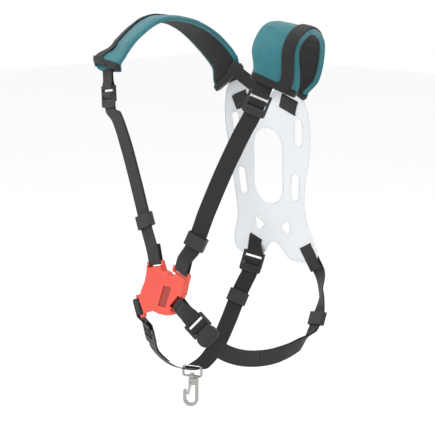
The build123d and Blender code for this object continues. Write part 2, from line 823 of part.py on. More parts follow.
with BuildPart() as chest_back:
    with BuildSketch(chest_face.offset(-front_face)):
        add(chest_outline.sketch)
        with Locations(*screw_places.values()):
            Circle(screw_radius + pin_gap, mode=Mode.SUBTRACT)
    extrude(amount=back_thickness - seam_gap)
    add(fold_room.part, mode=Mode.SUBTRACT)
finish(chest_back, "chest_back")

for place, spot in screw_places.items():
    with BuildPart() as screw:
        with BuildSketch(chest_face.offset(-front_face - seam_gap)):
            with Locations(spot):
                Circle(screw_radius * 1.9)
        extrude(amount=-screw_radius)
        with BuildSketch(chest_face.offset(-front_face - seam_gap)):
            with Locations(spot):
                Circle(screw_radius)
        extrude(amount=chest_thickness - chest_wall)
    finish(screw, f"chest_screw_{place}")

# The tongue of the wearer's left half, caught behind the button.
with BuildPart() as tongue:
    with BuildSketch(chest_face.offset(shell_base + seam_gap)):
        with Locations((button_across, button_up + tongue_rise)):
            RectangleRounded(tongue_width, tongue_height, 4)
            RectangleRounded(tongue_width / 2, tongue_height / 3, 2, mode=Mode.SUBTRACT)
    extrude(amount=tongue_thickness)
finish(tongue, "chest_tongue")

# The button slides inwards: its rim lies behind the front wall, its pad fills the recess.
button_back = front_face - chest_wall - button_gap - button_thickness
with BuildPart() as button:
    with BuildSketch(chest_face.offset(button_back)):
        offset(recess.sketch, amount=button_rim)
    extrude(amount=button_thickness)
    with BuildSketch(chest_face.offset(button_back)):
        offset(recess.sketch, amount=-button_gap)
    extrude(amount=front_face - button_back - button_drop)
finish(button, "chest_button")

# Its leaf spring sits under the lower end, drawn at the length it has when the button is in.
leaf_low = shell_base + seam_gap + button_travel + seam_gap
leaf_place = (button_across - button_lean, button_up - button_height / 2 + 2)
leaf_origin = chest_face.from_local_coords((*leaf_place, button_back))
leaf_depth = button_back - leaf_low
with BuildPart() as leaf:
    with BuildSketch(Plane(origin=leaf_origin, x_dir=(1, 0, 0), z_dir=(0, 0, 1))):
        with BuildLine():
            FilletPolyline(
                (-leaf_half, leaf_thickness),
                (0, leaf_depth - leaf_thickness),
                (leaf_half, leaf_thickness),
                radius=2,
            )
        trace(line_width=leaf_thickness)
    extrude(amount=leaf_width / 2, both=True)
finish(leaf, "button_spring")

# ---- Ring that hangs on the hip strap ----
ring_top = ring_centre + Vector(0, 0, ring_wire + running_gap + web_thickness / 2)
ring_face = Plane(origin=ring_top, x_dir=ring_across, z_dir=-ring_along)
ring_half = web_width / 2 + ring_side_gap + ring_wire
ring_drop = ring_inside_height + 2 * ring_wire
boss_low = -ring_drop - boss_height / 2
with BuildPart() as ring:
    with BuildLine(ring_face) as ring_line:
        FilletPolyline(
            (ring_half, 0),
            (ring_half, -ring_drop),
            (-ring_half, -ring_drop),
            (-ring_half, 0),
            radius=4,
            close=True,
        )
    with BuildSketch(Plane(origin=ring_line.line @ 0, z_dir=ring_line.line % 0)):
        Circle(ring_wire)
    sweep()
    boss_face = Plane(
        origin=ring_face.from_local_coords((0, boss_low, 0)), x_dir=ring_across, z_dir=(0, 0, 1)
    )
    with BuildSketch(boss_face):
        Circle(boss_radius)
    extrude(amount=boss_height)
    with BuildSketch(boss_face):
        Circle(stud_radius + stud_gap)
    extrude(amount=boss_height, mode=Mode.SUBTRACT)
finish(ring, "hook_ring")

# ---- Snap hook: x across towards its spine, y up, the origin under the ring's boss ----
hook_across = Vector(cos(radians(hook_turn)), sin(radians(hook_turn)), 0)
hook_origin = boss_face.origin - Vector(0, 0, running_gap)
hook_face = Plane(origin=hook_origin, x_dir=hook_across, z_dir=hook_across.cross(Vector(0, 0, 1)))
slot_top = -stud_depth - 0.8
with BuildPart() as stud:
    stud_foot = Plane(origin=hook_origin - Vector(0, 0, stud_depth), x_dir=hook_across, z_dir=(0, 0, 1))
    with BuildSketch(stud_foot):
        Circle(stud_radius)
    extrude(amount=stud_depth + boss_height + 2 * running_gap)
    with BuildSketch(stud_foot.offset(stud_depth + boss_height + 2 * running_gap)):
        Circle(stud_head_radius)
    extrude(amount=stud_head_height)
finish(stud, "hook_stud")

with BuildPart() as hook:
    with BuildSketch(hook_face):
        with BuildLine():
            Line((spine_across, -3), (spine_across, -bowl_drop))
            bowl = ThreePointArc(
                (spine_across, -bowl_drop),
                (spine_across - bowl_radius, -bowl_drop - bowl_radius),
                (spine_across - 2 * bowl_radius, -bowl_drop),
            )
            Line(bowl @ 1, (spine_across - 2 * bowl_radius, -tip_drop))
        trace(line_width=hook_bar)
    extrude(amount=hook_thickness / 2, both=True)
    with BuildSketch(hook_face):
        with Locations(((spine_across + hook_bar / 2 - 7) / 2, -block_height / 2)):
            RectangleRounded(spine_across + hook_bar / 2 + 7, block_height, 3)
        with Locations((spine_across - 2 * bowl_radius, -tip_drop)):
            Circle(hook_bar / 2)
    extrude(amount=hook_thickness / 2, both=True)
    with BuildSketch(hook_face):
        with Locations((-4, slot_top - block_height / 2)):
            Rectangle(2 * spine_across, block_height)
    extrude(amount=gate_slot / 2, both=True, mode=Mode.SUBTRACT)
    with BuildSketch(hook_face):
        with Locations(pin_place):
            Circle(gate_pin_radius + pin_gap)
    extrude(amount=hook_thickness, both=True, mode=Mode.SUBTRACT)
    with BuildSketch(stud_foot.offset(-seam_gap)):
        Circle(stud_radius + pin_gap)
    extrude(amount=stud_depth + 2, mode=Mode.SUBTRACT)
finish(hook, "hook_body")

gate_face = hook_face.offset(-gate_slot / 2 + seam_gap)
with BuildPart() as gate:
    with BuildSketch(gate_face):
        with BuildLine():
            Line(pin_place, gate_end)
        trace(line_width=gate_width)
        with Locations(pin_place, gate_end):
            Circle(gate_width / 2)
        with Locations(pin_place):
            Circle(gate_pin_radius + pin_gap, mode=Mode.SUBTRACT)
    extrude(amount=gate_thickness)
finish(gate, "hook_gate")

with BuildPart() as pin:
    with BuildSketch(hook_face):
        with Locations(pin_place):
            Circle(gate_pin_radius)
    extrude(amount=hook_thickness / 2, both=True)
finish(pin, "gate_pin")

with BuildPart() as spring:
    with BuildSketch(gate_face.offset(gate_thickness + seam_gap)):
        with Locations(pin_place):
            Circle(gate_width / 2 - 0.4)
            with Locations((3, 1.6)):
                Rectangle(6, 1.2)
            Circle(gate_pin_radius + pin_gap, mode=Mode.SUBTRACT)
    extrude(amount=gate_slot - gate_thickness - 3 * seam_gap)
finish(spring, "gate_spring")
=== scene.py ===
import bmesh
import bpy
import json
from math import ceil, cos, pi, radians, sin
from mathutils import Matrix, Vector, noise

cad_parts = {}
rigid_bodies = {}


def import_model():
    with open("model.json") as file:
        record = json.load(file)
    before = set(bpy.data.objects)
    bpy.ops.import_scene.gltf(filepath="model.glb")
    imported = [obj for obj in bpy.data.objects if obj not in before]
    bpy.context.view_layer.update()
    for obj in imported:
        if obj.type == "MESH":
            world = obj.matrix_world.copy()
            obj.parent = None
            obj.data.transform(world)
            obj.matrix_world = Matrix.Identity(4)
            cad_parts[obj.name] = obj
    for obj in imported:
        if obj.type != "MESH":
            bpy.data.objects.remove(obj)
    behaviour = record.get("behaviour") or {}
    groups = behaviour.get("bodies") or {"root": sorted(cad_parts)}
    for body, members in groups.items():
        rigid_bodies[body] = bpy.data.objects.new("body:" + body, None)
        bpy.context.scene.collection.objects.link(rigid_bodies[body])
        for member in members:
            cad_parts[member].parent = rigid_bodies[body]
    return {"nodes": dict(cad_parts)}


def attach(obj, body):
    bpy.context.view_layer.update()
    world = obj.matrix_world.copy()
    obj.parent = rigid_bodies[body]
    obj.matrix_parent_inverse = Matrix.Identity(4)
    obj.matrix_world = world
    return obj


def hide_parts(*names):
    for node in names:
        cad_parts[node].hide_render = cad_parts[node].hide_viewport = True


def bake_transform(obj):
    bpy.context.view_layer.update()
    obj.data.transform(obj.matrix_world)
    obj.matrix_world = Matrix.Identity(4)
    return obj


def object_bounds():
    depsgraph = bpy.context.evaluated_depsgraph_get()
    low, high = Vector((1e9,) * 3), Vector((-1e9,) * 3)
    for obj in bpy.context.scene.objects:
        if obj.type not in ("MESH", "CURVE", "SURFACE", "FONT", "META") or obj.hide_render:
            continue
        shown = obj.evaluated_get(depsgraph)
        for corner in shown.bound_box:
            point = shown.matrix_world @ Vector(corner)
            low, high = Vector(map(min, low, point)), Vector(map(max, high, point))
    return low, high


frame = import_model()
cadLow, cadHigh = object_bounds()
scene = bpy.context.scene
mm = 0.001

# camera and light
camera = {"azimuth": 44.0, "elevation": 10.5, "target": (-14, -12, -352), "distance": 3000, "lens": 137.8}


def makeCamera():
    azimuth, elevation = radians(camera["azimuth"]), radians(camera["elevation"])
    back = Vector((sin(azimuth) * cos(elevation), -cos(azimuth) * cos(elevation), sin(elevation)))
    data = bpy.data.cameras.new("camera")
    data.lens = camera["lens"]
    data.sensor_width = 36
    seen = bpy.data.objects.new("camera", data)
    seen.location = (Vector(camera["target"]) + back * camera["distance"]) * mm
    seen.rotation_mode = "QUATERNION"
    seen.rotation_quaternion = (-back).to_track_quat("-Z", "Y")
    scene.collection.objects.link(seen)
    scene.camera = seen


studio = {"backdrop": 1.0, "low": 0.42, "high": 1.35, "key": 42.0, "fill": 7.0, "rim": 16.0}


def makeStudio():
    world = bpy.data.worlds.new("studio")
    world.use_nodes = True
    tree = world.node_tree
    backdrop = tree.nodes["Background"]
    backdrop.inputs["Color"].default_value = (1.0, 1.0, 1.0, 1)
    backdrop.inputs["Strength"].default_value = studio["backdrop"]
    soft = tree.nodes.new("ShaderNodeBackground")
    ramp = tree.nodes.new("ShaderNodeMapRange")
    ramp.inputs["From Min"].default_value = -0.6
    ramp.inputs["From Max"].default_value = 0.7
    ramp.inputs["To Min"].default_value = studio["low"]
    ramp.inputs["To Max"].default_value = studio["high"]
    split = tree.nodes.new("ShaderNodeSeparateXYZ")
    tree.links.new(tree.nodes.new("ShaderNodeTexCoord").outputs["Generated"], split.inputs[0])
    tree.links.new(split.outputs[2], ramp.inputs[0])
    tree.links.new(ramp.outputs[0], soft.inputs["Strength"])
    chosen = tree.nodes.new("ShaderNodeMixShader")
    tree.links.new(tree.nodes.new("ShaderNodeLightPath").outputs["Is Camera Ray"], chosen.inputs[0])
    tree.links.new(soft.outputs[0], chosen.inputs[1])
    tree.links.new(backdrop.outputs[0], chosen.inputs[2])
    tree.links.new(chosen.outputs[0], tree.nodes["World Output"].inputs["Surface"])
    scene.world = world
    scene.view_settings.view_transform = "Standard"
    for name, power, size, place in (
        ("key", studio["key"], 0.8, (-1.0, -2.0, 1.9)),
        ("fill", studio["fill"], 2.2, (2.6, -1.4, 0.4)),
        ("rim", studio["rim"], 1.4, (0.8, 2.2, 1.2)),
    ):
        lamp = bpy.data.lights.new(name, "AREA")
        lamp.energy = power
        lamp.size = size
        shown = bpy.data.objects.new(name, lamp)
        shown.location = place
        aim = Vector((0, 0, -0.35)) - Vector(place)
        shown.rotation_euler = aim.to_track_quat("-Z", "Y").to_euler()
        scene.collection.objects.link(shown)


makeCamera()
makeStudio()
print("camera and light")

# shader helpers


class Flow:
    # an output socket, so that shader maths reads as a plain expression
    def __init__(self, tree, socket):
        self.tree = tree
        self.socket = socket

    def sums(self, operation, first, second):
        node = self.tree.nodes.new("ShaderNodeMath")
        node.operation = operation
        for place, value in ((0, first), (1, second)):
            if isinstance(value, Flow):
                self.tree.links.new(value.socket, node.inputs[place])
            elif value is not None:
                node.inputs[place].default_value = value
        return Flow(self.tree, node.outputs[0])

    def __add__(self, other):
        return self.sums("ADD", self, other)

    def __radd__(self, other):
        return self.sums("ADD", other, self)

    def __sub__(self, other):
        return self.sums("SUBTRACT", self, other)

    def __rsub__(self, other):
        return self.sums("SUBTRACT", other, self)

    def __mul__(self, other):
        return self.sums("MULTIPLY", self, other)

    def __rmul__(self, other):
        return self.sums("MULTIPLY", other, self)

    def __truediv__(self, other):
        return self.sums("DIVIDE", self, other)

    def __pow__(self, other):
        return self.sums("POWER", self, other)

    def __gt__(self, other):
        return self.sums("GREATER_THAN", self, other)

    def __lt__(self, other):
        return self.sums("LESS_THAN", self, other)

    def __abs__(self):
        return self.sums("ABSOLUTE", self, None)


class Finish:
    # one material: its nodes are made by node(), its constants are set by keep()
    def __init__(self, name):
        self.material = bpy.data.materials.new(name)
        self.material.use_nodes = True
        self.tree = self.material.node_tree
        self.shader = self.tree.nodes["Principled BSDF"]

    def node(self, kind, settings=None, inputs=None, output=0):
        made = self.tree.nodes.new(kind)
        for key, value in (settings or {}).items():
            if key == "stops":
                ramp = made.color_ramp
                while len(ramp.elements) < len(value):
                    ramp.elements.new(0.5)
                for element, (place, color) in zip(ramp.elements, value):
                    element.position = place
                    element.color = (*color, 1)
            else:
                setattr(made, key, value)
        for key, value in (inputs or {}).items():
            if isinstance(value, Flow):
                self.tree.links.new(value.socket, made.inputs[key])
            else:
                made.inputs[key].default_value = value
        return Flow(self.tree, made.outputs[output])

    def sine(self, value):
        return self.node("ShaderNodeMath", {"operation": "SINE"}, {0: value})

    def whole(self, value):
        return self.node("ShaderNodeMath", {"operation": "FLOOR"}, {0: value})

    def places(self):
        # object space, in metres
        return self.node("ShaderNodeTexCoord", output="Object")

    def cloth(self):
        # across and along the cloth, in millimetres
        uv = self.node("ShaderNodeUVMap", {"uv_map": "clothMap"})
        self.split = self.tree.nodes.new("ShaderNodeSeparateXYZ")
        self.tree.links.new(uv.socket, self.split.inputs[0])
        return Flow(self.tree, self.split.outputs[0]), Flow(self.tree, self.split.outputs[1])

    def noise(self, scale, detail=3.0, rough=0.5, vector=None):
        settings = {"Scale": scale, "Detail": detail, "Roughness": rough, "Vector": vector or self.places()}
        return self.node("ShaderNodeTexNoise", None, settings)

    def blend(self, factor, first, second):
        mixed = {0: factor, 6: (*first, 1) if isinstance(first, tuple) else first}
        mixed[7] = (*second, 1) if isinstance(second, tuple) else second
        return self.node("ShaderNodeMix", {"data_type": "RGBA"}, mixed, 2)

    def relief(self, height, distance, strength=1.0, normal=None):
        settings = {"Height": height, "Distance": distance, "Strength": strength}
        if normal:
            settings["Normal"] = normal
        return self.node("ShaderNodeBump", None, settings)

    def rounded(self, radius):
        return self.node("ShaderNodeBevel", {"samples": 6}, {"Radius": radius})

    def keep(self, **values):
        for key, value in values.items():
            self.shader.inputs[key.replace("_", " ")].default_value = value
        return self

    def feed(self, **values):
        for key, value in values.items():
            self.tree.links.new(value.socket, self.shader.inputs[key.replace("_", " ")])
        return self.material


# finishes
webTone = {"thread": (0.024, 0.024, 0.024), "gap": (0.002, 0.002, 0.002), "pitch": 1.5, "pick": 1.25, "rib": 3.4}


def webbingFinish():
    finish = Finish("webbing")
    across, along = finish.cloth()
    row = finish.whole(across / webTone["pitch"])
    warp = abs(finish.sine(across * (pi / webTone["pitch"])))
    shift = (row * 0.5) * webTone["pick"]
    weft = abs(finish.sine((along + shift) * (pi / webTone["pick"])))
    thread = warp * (0.35 + 0.65 * weft)
    edge = abs(across) > 13.4
    worn = finish.noise(38.0, 4.0)
    tone = finish.blend(thread * 0.85 + 0.1, webTone["gap"], webTone["thread"])
    rib = abs(finish.sine((along + across * 0.7) * (pi / webTone["rib"])))
    tone = finish.blend(rib * 0.45, tone, webTone["gap"])
    tone = finish.blend(worn * 0.2, tone, (0.036, 0.035, 0.034))
    tone = finish.blend(edge * 0.35, tone, (0.012, 0.012, 0.013))
    normal = finish.relief(thread + rib * 0.6, 0.0006, 0.9)
    finish.keep(Sheen_Weight=0.1, Sheen_Roughness=0.4, Specular_IOR_Level=0.4)
    return finish.feed(Base_Color=tone, Roughness=0.72 - thread * 0.2, Normal=normal)


padTone = {"dark": (0.004, 0.085, 0.108), "light": (0.012, 0.185, 0.215), "pitch": 0.9}


def padFinish():
    finish = Finish("padCloth")
    across, along = finish.cloth()
    warp = abs(finish.sine(across * (pi / padTone["pitch"])))
    weft = abs(finish.sine((along + finish.whole(across / padTone["pitch"]) * 0.45) * (pi / padTone["pitch"])))
    thread = warp * 0.5 + weft * 0.5
    cloud = finish.noise(26.0, 4.0)
    # painted sheen highlights: random patches of lighter teal mixed into the cloth colour
    sheenPatch = finish.noise(9.0, 2.0)
    tone = finish.blend(thread * 0.6 + cloud * 0.35, padTone["dark"], padTone["light"])
    tone = finish.blend(sheenPatch * 0.16, tone, (0.05, 0.27, 0.30))
    crease = finish.noise(42.0, 3.0, 0.55)
    normal = finish.relief(thread, 0.00025, 0.7, finish.relief(crease, 0.007, 0.6))
    finish.keep(Sheen_Weight=0.25, Sheen_Roughness=0.4, Specular_IOR_Level=0.45)
    return finish.feed(Base_Color=tone, Roughness=0.62 - thread * 0.16, Normal=normal)


def liningFinish():
    finish = Finish("liningCloth")
    across, along = finish.cloth()
    step = 2.3
    lean = along + finish.whole(across / (step * 0.866)) * (step / 2)
    holes = abs(finish.sine(across * (pi / (step * 0.866)))) * abs(finish.sine(lean * (pi / step)))
    cloud = finish.noise(30.0, 3.0)
    tone = finish.blend(holes, (0.002, 0.002, 0.002), (0.018, 0.018, 0.018))
    tone = finish.blend(cloud * 0.25, tone, (0.026, 0.026, 0.027))
    normal = finish.relief(holes, 0.0005, 0.8)
    finish.keep(Sheen_Weight=0.08, Sheen_Roughness=0.6, Specular_IOR_Level=0.3)
    return finish.feed(Base_Color=tone, Roughness=0.9 - holes * 0.12, Normal=normal)


def tapeFinish():
    finish = Finish("bindingTape")
    across, along = finish.cloth()
    rib = abs(finish.sine(along * (pi / 0.95)))
    cloud = finish.noise(60.0, 3.0)
    tone = finish.blend(rib * 0.8 + cloud * 0.2, (0.003, 0.003, 0.003), (0.018, 0.018, 0.018))
    normal = finish.relief(rib, 0.0003, 0.8)
    finish.keep(Sheen_Weight=0.08, Sheen_Roughness=0.5, Specular_IOR_Level=0.35)
    return finish.feed(Base_Color=tone, Roughness=0.74 - rib * 0.14, Normal=normal)


def threadFinish(name, light, dark):
    finish = Finish(name)
    ply = finish.node("ShaderNodeTexWave", {"bands_direction": "DIAGONAL"}, {"Scale": 900.0, "Vector": finish.places()})
    tone = finish.blend(ply, dark, light)
    finish.keep(Specular_IOR_Level=0.4)
    return finish.feed(Base_Color=tone, Roughness=0.6 - ply * 0.15, Normal=finish.relief(ply, 0.0001, 0.6))


def plasticFinish(name, dark, light, rough, grain, radius, scatter=0.0):
    # a moulded plastic: mottled colour, fine mould grain, softened edges, faint handling scratches
    finish = Finish(name)
    cloud = finish.noise(14.0, 4.0)
    fine = finish.noise(1500.0, 2.0)
    stretched = finish.node(
        "ShaderNodeMapping", None, {"Vector": finish.places(), "Scale": (900.0, 900.0, 60.0), "Rotation": (0.4, 0.2, 0.9)}
    )
    scratch = finish.node("ShaderNodeTexNoise", None, {"Vector": stretched, "Scale": 1.0, "Detail": 2.0})
    marks = (scratch > 0.68) * 0.12
    tone = finish.blend(cloud, dark, light)
    normal = finish.relief(fine, grain, 0.5, finish.rounded(radius))
    finish.keep(Specular_IOR_Level=0.5, Coat_Roughness=0.25)
    if scatter:
        finish.keep(Subsurface_Weight=scatter, Subsurface_Radius=(1.0, 1.0, 1.0), Subsurface_Scale=0.004)
    return finish.feed(Base_Color=tone, Roughness=rough + cloud * 0.12 + marks, Normal=normal)


def steelFinish(name, tone, rough, stretch, radius):
    finish = Finish(name)
    lines = finish.node("ShaderNodeMapping", None, {"Vector": finish.places(), "Scale": stretch})
    brushed = finish.node("ShaderNodeTexNoise", None, {"Vector": lines, "Scale": 1.0, "Detail": 3.0})
    cloud = finish.noise(90.0, 4.0)
    color = finish.blend(cloud * 0.6, tone, tuple(part * 0.72 for part in tone))
    normal = finish.relief(brushed, 0.00004, 0.5, finish.rounded(radius))
    finish.keep(Metallic=1.0)
    return finish.feed(Base_Color=color, Roughness=rough + brushed * 0.14 + cloud * 0.08, Normal=normal)


def floorFinish():
    finish = Finish("floor")
    cloud = finish.noise(1.5, 2.0)
    return finish.feed(Base_Color=finish.blend(cloud, (0.93, 0.93, 0.935), (0.95, 0.95, 0.955)), Roughness=0.7 + cloud * 0.1)


webbing = webbingFinish()
padCloth = padFinish()
liningCloth = liningFinish()
bindingTape = tapeFinish()
tealThread = threadFinish("tealThread", (0.02, 0.22, 0.26), (0.005, 0.09, 0.11))
blackThread = threadFinish("blackThread", (0.06, 0.06, 0.065), (0.015, 0.015, 0.017))
platePlastic = plasticFinish("platePlastic", (0.66, 0.70, 0.725), (0.76, 0.79, 0.805), 0.28, 0.00003, 0.0012, 0.25)
bucklePlastic = plasticFinish("bucklePlastic", (0.012, 0.012, 0.013), (0.024, 0.024, 0.026), 0.34, 0.00005, 0.0006)
chestPlastic = plasticFinish("chestPlastic", (0.66, 0.058, 0.034), (0.78, 0.088, 0.052), 0.30, 0.00003, 0.0008, 0.08)
buttonPlastic = plasticFinish("buttonPlastic", (0.30, 0.022, 0.016), (0.40, 0.035, 0.024), 0.32, 0.00003, 0.0006)
hookSteel = steelFinish("hookSteel", (0.40, 0.39, 0.37), 0.17, (300.0, 300.0, 90.0), 0.0006)
gateSteel = steelFinish("gateSteel", (0.50, 0.49, 0.475), 0.20, (1200.0, 1200.0, 60.0), 0.0004)
screwSteel = steelFinish("screwSteel", (0.5, 0.5, 0.51), 0.28, (500.0, 500.0, 500.0), 0.0003)
print("finishes")

# cross-sections and runs


class Cut:
    # a cross-section: its across, its travel, and the outward between them
    def __init__(self, origin, across, travel):
        self.origin = Vector(origin)
        self.across = Vector(across).normalized()
        travel = Vector(travel)
        self.travel = (travel - self.across * travel.dot(self.across)).normalized()
        self.out = self.travel.cross(self.across)

    def moved(self, out=0.0, across=0.0, along=0.0):
        origin = self.origin + self.out * out + self.across * across + self.travel * along
        return Cut(origin, self.across, self.travel)


class Seat:
    # x across the webbing, y up along it, z outwards
    def __init__(self, origin, across, up):
        self.origin = Vector(origin)
        self.x = Vector(across).normalized()
        self.z = self.x.cross(Vector(up)).normalized()
        self.y = self.z.cross(self.x)

    def at(self, x, y, z):
        return self.origin + self.x * x + self.y * y + self.z * z

    def turned(self, degrees):
        turn = radians(degrees)
        return Seat(self.origin, self.x * cos(turn) + self.y * sin(turn), self.y * cos(turn) - self.x * sin(turn))

    def placed(self, x, y, degrees):
        return Seat(self.at(x, y, 0), self.x, self.y).turned(degrees)

    def cut(self, along, out, heading=-1):
        return Cut(self.at(0, along, out), self.x, self.y * heading)

    def flipped(self, along, out):
        return Cut(self.at(0, along, out), -self.x, self.y)


def cutsAlong(first, middle, last, step=4.0):
    # closely spaced cross-sections on one smooth curve through (point, across) pairs
    points = [first.origin] + [Vector(point) for point, across in middle] + [last.origin]
    stations = [first]
    for index, (point, across) in enumerate(middle, start=1):
        travel = (points[index + 1] - points[index - 1]).normalized()
        across = Vector(across)
        stations.append(Cut(point, across - travel * across.dot(travel), travel))
    stations.append(last)
    cuts = [first]
    for start, end in zip(stations, stations[1:]):
        reach = (end.origin - start.origin).length
        leave, arrive = start.travel * reach, end.travel * reach
        count = max(2, ceil(reach / step))
        for index in range(1, count + 1):
            t = index / count
            origin = start.origin * (2 * t**3 - 3 * t**2 + 1) + end.origin * (3 * t**2 - 2 * t**3)
            origin = origin + leave * (t**3 - 2 * t**2 + t) + arrive * (t**3 - t**2)
            travel = (end.origin - start.origin) * (6 * t - 6 * t**2)
            travel = travel + leave * (3 * t**2 - 4 * t + 1) + arrive * (3 * t**2 - 2 * t)
            cuts.append(Cut(origin, start.across * (1 - t) + end.across * t, travel))
    return cuts


def foldCuts(seat, path):
    # cross-sections round the bends of (along, out, radius) points in a seat's lengthwise section
    points = [Vector((along, out)) for along, out, radius in path]
    outline = [(points[0], (points[1] - points[0]).normalized())]
    for before, here, after, (along, out, radius) in zip(points, points[1:], points[2:], path[1:]):
        into, away = (here - before).normalized(), (after - here).normalized()
        turn = into.angle_signed(away)
        radius = max(radius, 0.5)
        trim = radius * abs(sin(turn / 2) / max(cos(turn / 2), 0.05))
        count = max(2, ceil(abs(turn) / 0.35))
        start, end = here - into * trim, here + away * trim
        for index in range(count + 1):
            t = index / count
            point = start * (1 - t) ** 2 + here * 2 * t * (1 - t) + end * t**2
            outline.append((point, (into * (1 - t) + away * t).normalized()))
    outline.append((points[-1], (points[-1] - points[-2]).normalized()))
    return [Cut(seat.at(0, p.x, p.y), seat.x, seat.y * d.x + seat.z * d.y) for p, d in outline]


def meshPiece(name, points, faces, uvs, materials, indices=None, smooth=True):
    # points are in millimetres; uvs has one pair for each point
    mesh = bpy.data.meshes.new(name)
    mesh.from_pydata([tuple(Vector(point) * mm) for point in points], [], faces)
    layer = mesh.uv_layers.new(name="clothMap")
    for loop in mesh.loops:
        layer.data[loop.index].uv = uvs[loop.vertex_index]
    for material in materials:
        mesh.materials.append(material)
    if indices:
        for polygon, index in zip(mesh.polygons, indices):
            polygon.material_index = index
    mesh.polygons.foreach_set("use_smooth", [smooth] * len(mesh.polygons))
    mesh.update()
    piece = bpy.data.objects.new(name, mesh)
    scene.collection.objects.link(piece)
    return piece


def ringed(name, rings, around, alongs, materials, pick=None, closed=True):
    # a skin over rings of points; around and alongs are the cloth map's values
    points, uvs, faces, indices = [], [], [], []
    count = len(rings[0])
    for ring, along in zip(rings, alongs):
        for point, across in zip(ring, around):
            points.append(point)
            uvs.append((across, along))
    for row in range(len(rings) - 1):
        for column in range(count if closed else count - 1):
            nextColumn = (column + 1) % count
            low, high = row * count, (row + 1) * count
            faces.append((low + column, low + nextColumn, high + nextColumn, high + column))
            indices.append(pick(row, column) if pick else 0)
    for row, flip in ((0, True), (len(rings) - 1, False)):
        cap = [row * count + column for column in range(count)]
        faces.append(tuple(reversed(cap)) if flip else tuple(cap))
        indices.append(indices[0] if row == 0 else indices[-1])
    return meshPiece(name, points, faces, uvs, materials, indices)


def lengths(cuts):
    total = [0.0]
    for before, after in zip(cuts, cuts[1:]):
        total.append(total[-1] + (after.origin - before.origin).length)
    return total


ribbonSides = {"columns": 10, "soft": 0.7, "ripple": 0.22}


def ribbon(name, cuts, width, thickness, material, ripple=1.0):
    # woven tape: rounded selvedges, a faint ripple, and a cloth map in millimetres
    half, thin = width / 2, thickness / 2
    soft = min(ribbonSides["soft"], thin)
    columns = ribbonSides["columns"]
    face = [-half + soft + (width - 2 * soft) * i / columns for i in range(columns + 1)]
    profile = [(-half, 0.0)] + [(-half + soft * 0.3, thin * 0.7)] + [(u, thin) for u in face]
    profile += [(half - soft * 0.3, thin * 0.7), (half, 0.0), (half - soft * 0.3, -thin * 0.7)]
    profile += [(u, -thin) for u in reversed(face)] + [(-half + soft * 0.3, -thin * 0.7)]
    alongs = lengths(cuts)
    rings = []
    for cut, along in zip(cuts, alongs):
        fade = min(1.0, along / 15, (alongs[-1] - along) / 15)
        ring = []
        for u, w in profile:
            place = cut.origin + cut.across * u
            wave = noise.noise(place * 0.035) * ribbonSides["ripple"] * ripple * max(0.0, fade)
            ring.append(place + cut.out * (w + wave))
        rings.append(ring)
    return ringed(name, rings, [u for u, w in profile], alongs, [material])


def dress(piece, body, slotName, *nodes):
    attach(piece, body)
    if nodes:
        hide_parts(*nodes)
    return piece


def stitches(name, lines, material, body, slotName, size=(2.4, 0.28), gap=1.0):
    # small thread bars along polylines of (point, outward) pairs
    points, faces, uvs = [], [], []
    for line in lines:
        places = [Vector(point) for point, out in line]
        total = sum((b - a).length for a, b in zip(places, places[1:]))
        count = max(1, int(total / (size[0] + gap)))
        for index in range(count):
            middle = (index + 0.5) / count * total
            for before, after in zip(line, line[1:]):
                stretch = (Vector(after[0]) - Vector(before[0])).length
                if middle <= stretch:
                    break
                middle -= stretch
            travel = (Vector(after[0]) - Vector(before[0])).normalized()
            share = min(1.0, middle / max(stretch, 0.001))
            out = Vector(before[1]).lerp(Vector(after[1]), share).normalized()
            side = travel.cross(out).normalized()
            centre = Vector(before[0]) + travel * middle
            base = len(points)
            for part, thick in ((-0.5, 0.25), (-0.36, 0.9), (0.0, 1.15), (0.36, 0.9), (0.5, 0.25)):
                for turn in range(6):
                    angle = turn * pi / 3
                    place = centre + travel * part * size[0] + side * cos(angle) * size[1] * thick
                    points.append(place + out * (sin(angle) * size[1] * thick * 0.8 - size[1] * 0.3))
                    uvs.append((0.0, 0.0))
            for row in range(4):
                for turn in range(6):
                    nextTurn = (turn + 1) % 6
                    low, high = base + row * 6, base + row * 6 + 6
                    faces.append((low + turn, low + nextTurn, high + nextTurn, high + turn))
    return dress(meshPiece(name, points, faces, uvs, [material]), body, slotName)


def boxStitch(cuts, start, end, inset, lift, half):
    # a box and a cross sewn through a strap, between two of its cross-sections
    span = cuts[start : end + 1]
    edge = half - inset
    left = [(cut.origin + cut.across * -edge + cut.out * lift, cut.out) for cut in span]
    right = [(cut.origin + cut.across * edge + cut.out * lift, cut.out) for cut in span]
    lines = [left, right, [left[0], right[0]], [left[-1], right[-1]]]
    for flip in (1, -1):
        line = []
        for index, cut in enumerate(span):
            u = edge * flip * (1 - 2 * index / max(1, len(span) - 1))
            line.append((cut.origin + cut.across * u + cut.out * lift, cut.out))
        lines.append(line)
    return lines


print("makers")

# webbing sizes and the seats of the hardware
web = {"width": 30.0, "thick": 1.6, "pitch": 2.3, "loadWidth": 38.0, "loadThick": 2.0, "lead": 5.0}
lock = {"turn": 3.3, "bend": 3.2, "upper": -0.8, "lower": -3.1, "barPitch": 12.0, "lip": 10.5}
lock.update({"wrapEnd": -33.5, "start": -33.8})
plate = {"origin": (4, 94, -150), "leanTop": 7.6, "leanLeg": 9.0, "loadLayer": 2.8, "legLayer": 2.6}
plate.update({"patch": 12.2, "hidden": 39.2})

